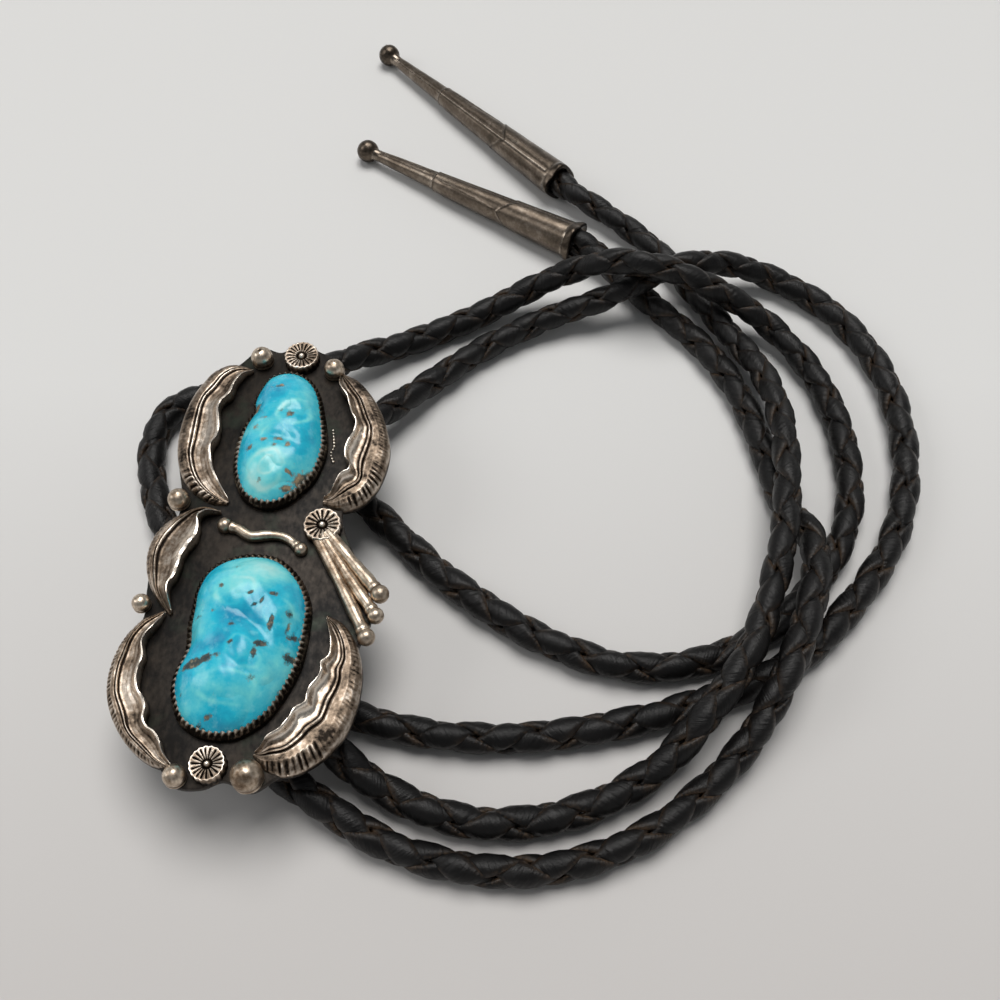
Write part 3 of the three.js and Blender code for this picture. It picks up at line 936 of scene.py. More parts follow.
@dataclass
class Leaf:
    """A stamped silver leaf: chased outer band, double midrib, dished web, ruffled bright edge."""

    name: str
    outer: tuple[Point, ...]
    inner: tuple[Point, ...]  # from the leaf's first point to its last, as the outer edge
    fringe: Fringe
    strokes: int
    deep: tuple[float, float]  # the stretch where the strokes are deepest
    rib: float = RIB  # where the midrib lies, as a share of the width
    slot_end: float = 0.22  # how far across the deep strokes run
    web: float = 0.0  # how far the web is raised
    rows: int = 250
    columns: int = 46
    # Height above the plate, in millimetres, across a leaf whose rib is at RIB.
    section: tuple[Point, ...] = (
        (0.0, 0.10), (0.03, 0.50), (0.10, 0.82), (0.22, 1.06), (0.34, 1.10), (0.378, 0.86), (0.405, 1.17),
        (0.42, 1.04), (0.435, 1.17), (0.47, 0.80), (0.55, 0.76), (0.68, 0.82), (0.79, 1.02), (0.87, 1.38),
        (0.915, 1.76), (0.94, 1.96), (0.96, 2.0), (1.0, 2.0),
    )

    def _chasing(self, along: Array, across: Array) -> Array:
        """Gives the depth of the chased strokes.

        Args:
            along: Each point's share along the leaf.
            across: Its share across, from the outer edge.

        Returns:
            The depth at each point, in millimetres.
        """
        swell = smoothstep(self.deep[0] - 0.06, self.deep[0] + 0.05, along)
        swell = swell * (1 - smoothstep(self.deep[1] - 0.05, self.deep[1] + 0.05, along))
        jitter = 0.12 * np.sin(along * 57) + 0.08 * np.sin(along * 131)
        drawn = across / self.rib * RIB
        edge = 1 - smoothstep(0.12, 0.24, drawn)
        band = 1 - smoothstep(self.slot_end - 0.08, self.slot_end + 0.02, drawn)
        uneven = 0.65 + 0.35 * np.sin(along * 83 + 1.0)
        if self.fringe is Fringe.ROPE:
            phase = along * self.strokes + across * 3.2 + jitter
            return 0.36 * groove(phase, 0.22) * edge * uneven
        if self.fringe is Fringe.TICKS:
            phase = along * self.strokes + across * 0.8 + jitter
            return (0.07 + 0.15 * swell) * groove(phase, 0.20) * edge * uneven
        phase = along * self.strokes - across * 1.0 + jitter
        fine = 0.06 * groove(phase, 0.18) * edge * uneven
        return fine + 0.50 * swell * groove(0.72 * phase, 0.20) * band * uneven

    def _shares(self, across: Array) -> Array:
        """The shares across, with the rows drawn closer at the bright edge."""
        return across + 0.03 * np.sin(2 * math.pi * across)

    def _polish_and_painted_shade(self, along: Array, across: Array, is_top: bool) -> Array:
        """Gives how the leaf is rubbed, its edge bright and its outer band left dull, with painted shade on
        its walls under the raised edge.

        Args:
            along: Each point's share along the leaf.
            across: Its share across, before the rows are drawn closer.
            is_top: Whether the points are on top.

        Returns:
            How much brighter than its shape alone each point is.
        """
        # painted shade: the underside and the walls down to the plate, under the raised edge, are painted
        # dark
        if not is_top:
            return np.full_like(along, -0.6)
        across = self._shares(across)
        rim = 0.62 * smoothstep(0.80, 0.90, across)
        band = -0.15 * smoothstep(0.02, 0.08, across) * (1 - smoothstep(0.9, 1.0, across / self.rib))
        web = 0.13 * smoothstep(self.rib + 0.04, 0.8, across) * (1 + np.sin(along * 11 + len(self.name)))
        seam = -0.30 * np.exp(-(((across - self.rib - 0.05) / 0.03) ** 2))
        return rim + band + web + seam

    def _place(self, along: Array, across: Array, is_top: bool) -> Array:
        """Lays the leaf's surface.

        Args:
            along: Each point's share along the leaf.
            across: Its share across, before the rows are drawn closer.
            is_top: Whether the points are on top.

        Returns:
            One row of x, y, z for each point.
        """
        across = self._shares(across)
        outside, inside = Path(self.outer), Path(self.inner)
        edge, lip = outside.at(along * outside.length), inside.at(along * inside.length)
        spots = edge * (1 - across)[:, None] + lip * across[:, None]
        if not is_top:
            spots[:, 2] = 0.06 + (PLATE_TOP - 0.2) * smoothstep(0.3, 0.6, across)
            return to_slide(spots)
        key, heights = np.array(self.section).T
        key = np.where(key <= RIB, key * self.rib / RIB, 1 - (1 - key) * (1 - self.rib) / (1 - RIB))
        rise = np.interp(across, key, heights)
        rise = rise + self.web * smoothstep(self.rib + 0.05, 0.75, across) * (1 - smoothstep(0.8, 1, across))
        taper = 0.45 + 0.55 * smoothstep(0, 0.12, along) * (1 - smoothstep(0.88, 1, along))
        ruffle = 0.14 * np.sin(along * 31 + 1.0) * smoothstep(0.72, 1.0, across)
        rise = (rise + ruffle) * taper - self._chasing(along, across) * taper
        uneven = 0.035 * ripple(np.column_stack([spots[:, :2], rise]), 0.9, len(self.name))
        spots[:, 2] = PLATE_TOP + np.maximum(rise + uneven, 0.06)
        return to_slide(spots)

    def build(self, finish: bpy.types.Material) -> bpy.types.Object:
        """Makes the leaf.

        Args:
            finish: Its material.

        Returns:
            The leaf.
        """
        bm = bmesh.new()
        thick_sheet(bm, self.rows, self.columns, self._place, self._polish_and_painted_shade)
        return finished(bm, self.name, finish, "slide", wear_radius=0.26 * MM)


LEAVES = (
    Leaf(
        "leaf_upper_left",
        ((-4.1, 26.2), (-6.4, 26.9), (-8.9, 26.0), (-10.8, 23.2), (-11.9, 19.9), (-12.4, 15.6), (-12.0, 11.8),
         (-10.7, 8.4), (-8.9, 6.3), (-6.6, 5.0), (-4.8, 4.9)),
        ((-3.9, 25.7), (-4.9, 24.8), (-5.8, 22.8), (-6.1, 21.1), (-7.2, 19.9), (-7.4, 18.7), (-7.1, 17.3),
         (-6.9, 15.9), (-7.0, 14.2), (-7.5, 12.9), (-7.4, 11.4), (-6.9, 9.6), (-6.2, 8.0),
         (-5.4, 6.7), (-4.6, 5.4)),
        Fringe.SLOTS, 44, (0.74, 0.96), 0.40, 0.34,
    ),
    Leaf(
        "leaf_upper_right",
        ((7.0, 5.0), (9.0, 4.2), (11.4, 4.8), (13.4, 7.0), (14.6, 10.4), (14.9, 13.6), (14.1, 17.4),
         (12.7, 20.8), (10.4, 24.0), (8.0, 25.6)),
        ((7.2, 5.7), (8.0, 6.2), (8.5, 7.2), (9.1, 8.5), (10.1, 9.1), (10.2, 10.0), (9.6, 10.9),
         (9.4, 12.1), (9.8, 13.6), (10.3, 15.0), (10.5, 16.6), (9.9, 17.8), (9.5, 19.1), (9.1, 20.6),
         (8.2, 22.0), (7.8, 23.3), (7.8, 25.0)),
        Fringe.SLOTS, 52, (0.14, 0.36), 0.60,
    ),
    Leaf(
        "leaf_middle_left",
        ((-5.4, 3.9), (-7.0, 4.3), (-8.9, 4.0), (-11.4, 2.6), (-13.0, 0.5), (-13.5, -2.5), (-12.8, -5.6),
         (-11.5, -8.0), (-9.5, -10.3)),
        ((-5.3, 3.6), (-6.9, 3.2), (-7.6, 2.5), (-7.4, 0.9), (-7.6, -0.6), (-8.3, -1.9), (-8.8, -2.9),
         (-8.9, -4.3), (-9.2, -5.6), (-9.8, -6.9), (-9.7, -8.0), (-9.2, -9.9)),
        Fringe.TICKS, 30, (0.05, 0.75), 0.28, web=0.35,
    ),
    Leaf(
        "leaf_lower_left",
        ((-10.1, -9.6), (-12.4, -10.9), (-14.3, -13.4), (-15.2, -16.6), (-15.0, -20.1), (-13.6, -23.4),
         (-11.3, -26.3), (-8.9, -28.0), (-6.7, -28.6)),
        ((-9.9, -10.2), (-10.5, -11.9), (-11.3, -13.2), (-11.5, -14.4), (-11.2, -15.8), (-11.4, -17.2),
         (-11.4, -18.5), (-11.1, -19.9), (-10.2, -21.1), (-9.8, -22.2), (-9.9, -23.3), (-9.4, -24.2),
         (-8.4, -24.9), (-7.7, -25.9), (-7.3, -27.0), (-6.4, -28.2)),
        Fringe.ROPE, 46, (0.0, 1.0), 0.34,
    ),
    Leaf(
        "leaf_lower_right",
        ((2.2, -27.2), (3.9, -28.9), (6.5, -29.2), (9.5, -27.6), (11.9, -24.9), (13.1, -21.4), (13.4, -17.5),
         (12.7, -14.3), (10.9, -11.4), (8.9, -10.2)),
        ((2.5, -26.8), (3.1, -26.3), (3.8, -25.3), (5.1, -24.5), (6.0, -23.2), (6.4, -22.2), (7.6, -21.5),
         (7.7, -20.7), (7.9, -19.6), (8.7, -18.5), (9.0, -17.7), (8.9, -16.8), (9.7, -15.9), (9.8, -14.2),
         (9.4, -12.6), (8.9, -10.9)),
        Fringe.SLOTS, 50, (0.10, 0.32), 0.60,
    ),
)


@dataclass
class Rosette:
    """A small stamped flower: radial petals inside a scalloped rim, with a boss in the middle."""

    name: str
    middle: Point
    radius: float  # millimetres
    petals: int
    height: float = 1.45
    cut: float = 0.30  # depth between the petals

    def build(self, finish: bpy.types.Material) -> bpy.types.Object:
        """Makes the rosette: a spun disc, its face pressed into petals.

        Args:
            finish: Its material.

        Returns:
            The rosette.
        """
        bm = bmesh.new()
        layer = bm.verts.layers.float.new("polish")
        crown = [(share * self.radius, self.height) for share in np.linspace(0, 0.96, 30)]
        side = [(self.radius, self.height - 0.14), (self.radius, 0.3), (self.radius + 0.1, -0.1), (0, -0.1)]
        turned_profile(bm, [*crown, *side], self.petals * 10)
        spots = positions(bm.verts)
        share = np.hypot(spots[:, 0], spots[:, 1]) / self.radius
        angle = np.arctan2(spots[:, 1], spots[:, 0])
        cuts = groove(angle * self.petals / (2 * math.pi) + 0.15 * np.sin(3 * angle), 0.17)
        face = spots[:, 2] > self.height - 0.2
        petal = smoothstep(0.20, 0.34, share) * (1 - smoothstep(0.74, 0.92, share))
        dish = 0.22 * (1 - smoothstep(0.0, 0.85, share))
        moat = 0.26 * np.exp(-(((share - 0.25) / 0.06) ** 2))
        boss = 0.32 * (1 - smoothstep(0.06, 0.22, share))
        polish = 0.45 * (1 - smoothstep(0.12, 0.20, share)) + 0.12 * smoothstep(0.8, 0.95, share) - 0.14
        polish = np.where(face, polish - 0.15 * petal * cuts, -0.35)
        for vert, value in zip(bm.verts, polish):
            vert[layer] = value
        spots[:, 2] += face * (boss - dish - moat - self.cut * petal * cuts)
        scallop = 1 + 0.022 * np.cos(self.petals * angle) * smoothstep(0.7, 1, share)
        spots[:, :2] *= scallop[:, None]
        spots += np.array([*self.middle, PLATE_TOP])
        place_verts(bm.verts, to_slide(spots))
        return finished(bm, self.name, finish, "slide", wear_radius=0.22 * MM)


ROSETTES = (
    Rosette("rosette_top", (2.4, 27.8), 2.25, 20, cut=0.22),
    Rosette("rosette_middle", (7.4, 1.5), 2.25, 16),
    Rosette("rosette_bottom", (-2.4, -28.3), 1.95, 18),
)


@dataclass
class Granule:
    """A silver ball soldered to the plate, with a dent where it was handled."""

    name: str
    middle: Point
    radius: float  # millimetres
    dent: Point | None = None  # its place on the ball, as shares of the radius
    lift: float = 0.74  # height of its middle above the plate, as a share of its radius
    dent_depth: float = 0.16  # shares of the radius
    dent_width: float = 0.20
    fillet: float = 0.30  # how much wider it is at the plate

    def build(self, finish: bpy.types.Material) -> bpy.types.Object:
        """Makes the ball with its solder fillet.

        Args:
            finish: Its material.

        Returns:
            The ball.
        """
        bm = bmesh.new()
        bmesh.ops.create_uvsphere(bm, u_segments=56, v_segments=36, radius=1)
        spots = positions(bm.verts)
        bumps = 1 + 0.012 * ripple(spots, 0.35, self.radius)
        if self.dent is not None:
            near = np.hypot(spots[:, 0] - self.dent[0], spots[:, 1] - self.dent[1])
            bumps -= self.dent_depth * np.exp(-((near / self.dent_width) ** 2)) * (spots[:, 2] > 0)
        spots = spots * bumps[:, None] * self.radius
        low = spots[:, 2] + self.lift * self.radius
        flare = 1 + self.fillet * (1 - smoothstep(0.0, 0.5 * self.radius, low))
        spots[:, :2] *= flare[:, None]
        spots[:, 2] = np.maximum(low, -0.2)
        spots += np.array([*self.middle, PLATE_TOP])
        place_verts(bm.verts, to_slide(spots))
        return finished(bm, self.name, finish, "slide", wear_radius=0.7 * MM)


GRANULES = (
    Granule("ball_top_left", (-2.9, 27.6), 1.45, (-0.15, 0.20)),
    Granule("ball_top_right", (6.9, 25.7), 1.35),
    Granule("ball_waist_left", (-10.7, 5.3), 1.32),
    Granule("ball_side_left", (-12.9, -8.9), 1.08),
    Granule("ball_foot_left", (-5.8, -29.5), 1.25),
    Granule("ball_foot_right", (2.0, -29.6), 1.75),
)


def beaded(share: Array, length: float, rod: Array, beads: Sequence[tuple[float, float]]) -> Array:
    """The radius of a drawn rod with a bead at an end.

    Args:
        share: How far along the rod each point is, 0 to 1.
        length: The rod's length.
        rod: The rod's own radius at each point.
        beads: For each bead, its middle as a distance along the rod, and its radius.

    Returns:
        The radius at each point.
    """
    radius = np.asarray(rod, float)
    for middle, size in beads:
        off = np.abs(share * length - middle)
        bead = np.sqrt(np.maximum(size**2 - off**2, 0))
        blend_in = np.exp(-(((off - size) / (0.35 * size)) ** 2)) * 0.10 * size
        inside = off < size
        radius = np.where(inside, np.maximum(radius, bead), radius) + blend_in * (bead < radius)
        beyond = (share * length - middle) * (1 if middle > length / 2 else -1) > 0
        radius = np.where(beyond & ~inside, 0, radius)
        radius = np.where(beyond & inside, bead, radius)
    return radius


@dataclass
class DrawnRod:
    """A rod of silver laid on the plate, with a bead melted at one end or both."""

    name: str
    route: tuple[Point, ...]
    thin: float
    thick: float
    beads: tuple[float, ...]  # bead radii: one at the end, or one at each end
    height: float
    rows: int = 170
    sides: int = 28

    def _place(self, along: Array, round_: Array) -> Array:
        """Lays the rod's surface.

        Args:
            along: Each point's share along the rod.
            round_: Its share round it.

        Returns:
            One row of x, y, z for each point.
        """
        path = Path([(x, y, PLATE_TOP + self.height) for x, y in self.route])
        rod = self.thin + (self.thick - self.thin) * along
        rod = rod * (1 + 0.06 * np.sin(along * 17) + 0.03 * np.sin(along * 41))
        ends = [(path.length - self.beads[-1], self.beads[-1])]
        if len(self.beads) > 1:
            ends.append((self.beads[0], self.beads[0]))
        # the rows stand closer where there is a bead
        share = np.sin(0.5 * math.pi * along)
        if len(self.beads) > 1:
            share = 0.5 - 0.5 * np.cos(math.pi * along)
        radius = np.maximum(beaded(share, path.length, rod, ends), 0.01)
        spots = path.around(share * path.length, 2 * math.pi * round_, radius)
        spots[:, 2] = np.maximum(spots[:, 2], PLATE_TOP - 0.15)
        return to_slide(spots)

    def build(self, finish: bpy.types.Material) -> bpy.types.Object:
        """Makes the rod.

        Args:
            finish: Its material.

        Returns:
            The rod.
        """
        bm = bmesh.new()
        rolled_sheet(bm, self.rows, self.sides, self._place)
        return finished(bm, self.name, finish, "slide", wear_radius=0.45 * MM)


RODS = (
    DrawnRod(
        "wavy_wire",
        ((-5.5, 2.0), (-4.5, 1.75), (-2.9, 1.25), (-1.2, 0.25), (1.1, 0.4), (3.0, 0.05), (4.4, -1.0),
         (5.6, -2.2)),
        0.76, 0.52, (0.98, 0.84), 0.5,
    ),
    DrawnRod("ray_outer", ((8.1, 0.6), (11.6, -3.7), (15.6, -8.6)), 0.74, 0.86, (1.12,), 0.72),
    DrawnRod("ray_middle", ((7.5, 0.3), (10.7, -4.8), (15.1, -11.3)), 0.72, 0.80, (1.0,), 0.58),
    DrawnRod("ray_inner", ((6.9, 0.0), (9.9, -5.8), (14.1, -14.1)), 0.72, 0.84, (1.05,), 0.52),
)


# ------------------------------------------------------------------ the stones
@dataclass(frozen=True)
class Mound:
    """A soft swelling or, with a height under 0, a hollow, in the slide's drawing."""

    x: float
    y: float
    long: float
    short: float
    turn: float  # degrees from +x
    height: float

    def _shares(self, x: Array, y: Array) -> tuple[Array, Array]:
        """Measures points along its two axes.

        Args:
            x: The points' places in the slide's drawing.
            y: The same, the other way.

        Returns:
            Their distances along the long and the short axis, as shares of its sizes.
        """
        angle = math.radians(self.turn)
        dx, dy = x - self.x, y - self.y
        one = (dx * math.cos(angle) + dy * math.sin(angle)) / self.long
        other = (dy * math.cos(angle) - dx * math.sin(angle)) / self.short
        return one, other

    def at(self, x: Array, y: Array) -> Array:
        """Its height at these points."""
        one, other = self._shares(x, y)
        return self.height * np.exp(-(one**2) - other**2)


@dataclass(frozen=True)
class Swirl(Mound):
    """A line round an oval, which wavers and fades along its way."""

    ring: float = 0.15  # the line's width, as a share of the oval's size

    def at(self, x: Array, y: Array) -> Array:
        """Gives the line's height.

        Args:
            x: The points' places in the slide's drawing.
            y: The same, the other way.

        Returns:
            The height at each point.
        """
        one, other = self._shares(x, y)
        way = np.arctan2(other, one)
        far = np.hypot(one, other) + 0.06 * np.sin(3 * way + self.turn) + 0.03 * np.sin(7 * way)
        fade = 0.60 + 0.40 * np.sin(2 * way + 0.1 * self.turn)
        return self.height * fade * np.exp(-(((far - 1) / self.ring) ** 2))


@dataclass(frozen=True)
class Facet:
    """A flat ground on a stone: the surface stays under a plane that falls away."""

    x: float
    y: float
    falls_to: float  # degrees from +x
    height: float  # of the plane at x, y
    slope: float

    def at(self, x: Array, y: Array) -> Array:
        """The plane's height at these points."""
        angle = math.radians(self.falls_to)
        return self.height - self.slope * ((x - self.x) * math.cos(angle) + (y - self.y) * math.sin(angle))


@dataclass
class Nugget:
    """A tumbled turquoise nugget and the toothed bezel that grips it."""

    name: str
    outline: tuple[Point, ...]
    crown: Point
    height: float
    teeth: int
    mounds: tuple[Mound, ...]
    facets: tuple[Facet, ...]
    spots: tuple[Mound, ...]  # matrix: its strength is the height
    tints_and_painted_light: tuple[Mound, ...]  # paler or deeper colour: partly the stone's own clouding, partly painted highlight on swellings and swirl lines and painted shade in hollows
    girdle: float = 1.35  # height of the stone's widest line
    tuck: float = 0.28  # how far the stone stays inside its outline
    facet_rounding: float = 0.08
    bezel_height: float = 1.30  # between two teeth
    tooth_height: float = 0.42
    bezel_lean: float = 0.42  # how far its top leans over the stone
    bezel_sheet: float = 0.34  # thickness

    def _reach(self, angle: Array, grow: float = 0.0) -> Array:
        """Measures the outline from the crown.

        Args:
            angle: The directions, in radians, from -pi to pi.
            grow: How far the outline is moved outwards.

        Returns:
            The distance in each direction, in millimetres.
        """
        line = catmull_rom(self.outline, True, 10) - np.array(self.crown)
        turn = np.arctan2(line[:, 1], line[:, 0])
        order = np.argsort(turn)
        turn, far = turn[order], np.hypot(line[:, 0], line[:, 1])[order]
        turn = np.concatenate([turn[-2:] - 2 * math.pi, turn, turn[:2] + 2 * math.pi])
        far = np.concatenate([far[-2:], far, far[:2]])
        return np.interp(angle, turn, far) + grow

    def _surface(self, ball: Array) -> Array:
        """Lays the stone's surface.

        Args:
            ball: Points of a unit ball, one row of x, y, z each.

        Returns:
            The same points on the stone, in the slide's drawing.
        """
        angle = np.arctan2(ball[:, 1], ball[:, 0])
        top = ball[:, 2] >= 0
        steep = np.clip(np.abs(ball[:, 2]), 0, 1)
        reach = self._reach(angle, -self.tuck)
        share = 1 - 2 / math.pi * np.arcsin(steep)
        share = np.where(top, share**0.9, share**0.4)
        x = self.crown[0] + reach * share * np.cos(angle)
        y = self.crown[1] + reach * share * np.sin(angle)
        rise = self.girdle + (self.height - self.girdle) * np.clip(1 - share**2.7, 0, 1) ** 0.85
        crest = 1 - smoothstep(0.75, 0.98, share)
        for mound in self.mounds:
            rise = rise + 0.7 * mound.at(x, y) * crest
        for facet in self.facets:
            plane = np.maximum(facet.at(x, y), self.girdle + 0.2)
            rise = 0.5 * (rise + plane - np.sqrt((rise - plane) ** 2 + self.facet_rounding**2))
        rise = rise + 0.05 * ripple(np.column_stack([x, y, rise]), 1.4, self.height) * crest
        z = np.where(top, rise, self.girdle * (1 - steep) ** 0.3)
        return np.column_stack([x, y, z + PLATE_TOP + 0.02])

    def build(self, finish: bpy.types.Material) -> bpy.types.Object:
        """Makes the stone.

        Args:
            finish: Its material.

        Returns:
            The stone.
        """
        bm = bmesh.new()
        bmesh.ops.create_uvsphere(bm, u_segments=240, v_segments=150, radius=1)
        drawn = self._surface(positions(bm.verts))
        place_verts(bm.verts, to_slide(drawn))
        stone = finished(bm, f"{self.name}_nugget", finish, self.name, wear_radius=0.8 * MM)
        x, y = drawn[:, 0], drawn[:, 1]
        matrix = np.max([spot.at(x, y) for spot in self.spots], axis=0)
        store(stone.data, "matrix", matrix)
        # the stored numbers carry the stone's own clouding and painted light: paler on swellings and swirls,
        # deeper in hollows
        store(stone.data, "tint_and_painted_light", np.sum([tint_and_painted_light.at(x, y) for tint_and_painted_light in self.tints_and_painted_light], axis=0))
        return stone

    def _wall(self, along: Array, round_: Array) -> Array:
        """Lays the bezel's surface: up the outside, over the teeth, down the inside.

        Args:
            along: Each point's share along the bezel.
            round_: Its share round the bezel's section.

        Returns:
            One row of x, y, z for each point.
        """
        turns = np.linspace(-math.pi, math.pi, 721)
        ring = self._reach(turns)[:, None] * np.column_stack([np.cos(turns), np.sin(turns)])
        walked = np.concatenate([[0], np.cumsum(np.linalg.norm(np.diff(ring, axis=0), axis=1))])
        angle = np.interp(along * walked[-1], walked, turns)
        up = np.clip(1 - np.abs(round_ * 2 - 1), 0, 1) ** 0.8
        outside = round_ < 0.5
        tooth = np.abs(2 * ((along * self.teeth) % 1) - 1)
        high = self.bezel_height + self.tooth_height * tooth
        lean = self.bezel_lean * smoothstep(0.6, 1.0, up)
        thick = self.bezel_sheet * (1 - 0.6 * smoothstep(0.6, 1.0, up))
        grow = 0.06 + np.where(outside, thick, 0.0) - lean
        flute = 0.025 * np.cos(2 * math.pi * along * self.teeth) * outside * smoothstep(0.2, 0.6, up)
        reach = self._reach(angle) + grow + flute
        x = self.crown[0] + reach * np.cos(angle)
        y = self.crown[1] + reach * np.sin(angle)
        return to_slide(np.column_stack([x, y, PLATE_TOP - 0.1 + (high + 0.1) * up]))

    def bezel(self, finish: bpy.types.Material) -> bpy.types.Object:
        """Makes the toothed bezel, its points rubbed bright and its wall left dark.

        Args:
            finish: Its material.

        Returns:
            The bezel.
        """
        bm = bmesh.new()
        layer = bm.verts.layers.float.new("polish")
        rolled_sheet(bm, self.teeth * 14, 16, self._wall)
        for vert in bm.verts:
            height = vert.co.z / MM - SLIDE_MIDDLE[2] - PLATE_TOP
            vert[layer] = -0.32 + 0.70 * float(smoothstep(1.22, 1.60, height))
        return finished(bm, f"bezel_{self.name}", finish, "slide", wear_radius=0.22 * MM)


UPPER_STONE = Nugget(
    "upper_stone",
    outline=(
        (1.0, 24.9), (-1.1, 24.2), (-2.2, 22.4), (-2.8, 20.6), (-2.9, 19.5), (-2.7, 18.7), (-3.0, 17.8),
        (-3.6, 16.4), (-4.1, 14.3), (-4.3, 12.0), (-4.2, 9.8), (-3.6, 7.6), (-2.6, 5.8), (-1.2, 4.8),
        (0.6, 4.4), (2.4, 5.0), (4.0, 6.4), (5.5, 8.4), (6.3, 10.8), (6.6, 13.1), (6.4, 15.5), (6.0, 17.9),
        (5.4, 20.6), (4.4, 22.8), (2.9, 24.3),
    ),
    crown=(1.2, 13.6), height=4.0, teeth=66,
    mounds=(
        Mound(2.6, 18.6, 3.0, 2.4, 60, 0.35), Mound(2.4, 17.0, 1.3, 0.9, 20, -0.55),
        Mound(-0.2, 8.6, 3.0, 2.6, 80, 0.55), Mound(0.4, 8.2, 1.3, 0.9, 60, -0.35),
        Mound(1.0, 12.9, 3.4, 0.8, 165, -0.45), Mound(-2.2, 18.4, 1.0, 0.8, 0, -0.5),
        Mound(4.6, 13.0, 3.2, 1.4, 85, 0.30), Mound(4.2, 7.3, 1.6, 1.2, 30, -0.7),
        Mound(-2.6, 13.6, 2.0, 1.2, 70, 0.25),
    ),
    facets=(Facet(5.4, 12.0, -10, 3.1, 1.1), Facet(3.4, 7.0, -50, 2.9, 0.75)),
    spots=(
        Mound(0.4, 21.2, 0.75, 0.50, 10, 0.62), Mound(2.5, 16.3, 0.75, 0.70, 60, 0.72),
        Mound(-2.3, 18.2, 0.80, 0.65, 40, 0.85), Mound(1.3, 16.6, 0.60, 0.35, 20, 0.45),
        Mound(-0.9, 15.9, 0.45, 0.35, 0, 0.46), Mound(-1.8, 14.4, 0.8, 0.5, 20, 0.38),
        Mound(-2.2, 11.3, 0.55, 0.45, 30, 0.72), Mound(-0.4, 12.2, 0.50, 0.45, 0, 0.60),
        Mound(1.4, 12.4, 0.95, 0.35, 160, 0.66), Mound(2.6, 11.6, 0.50, 0.40, 60, 0.62),
        Mound(0.9, 11.3, 0.40, 0.35, 0, 0.55), Mound(3.0, 8.0, 0.80, 0.40, 160, 0.66),
        Mound(2.6, 6.1, 0.80, 0.45, 20, 0.80), Mound(4.6, 7.5, 1.55, 0.80, 42, 0.95),
        Mound(-0.6, 6.9, 0.55, 0.40, 60, 0.52), Mound(3.3, 5.7, 0.8, 0.5, 45, 0.9),
    ),
    # paler and deeper colour: partly the stone's own clouding, partly painted highlight on the swellings and
    # swirl rings
    tints_and_painted_light=(
        Mound(0.0, 8.4, 3.2, 2.6, 70, 0.24), Mound(2.8, 19.0, 2.6, 2.0, 60, 0.14),
        Mound(5.0, 7.8, 2.0, 1.2, 45, 0.12), Mound(4.6, 12.6, 3.4, 1.2, 85, -0.04),
        Mound(-1.6, 22.0, 2.6, 2.0, 0, -0.04), Mound(-2.8, 12.8, 1.4, 3.0, 0, -0.06),
        Swirl(0.1, 8.3, 2.4, 2.1, 75, 0.26), Swirl(0.3, 8.6, 1.2, 0.9, 60, 0.16),
        Swirl(2.9, 16.6, 2.1, 1.8, 40, 0.22), Swirl(0.6, 13.6, 1.5, 1.0, 20, 0.10),
    ),
)
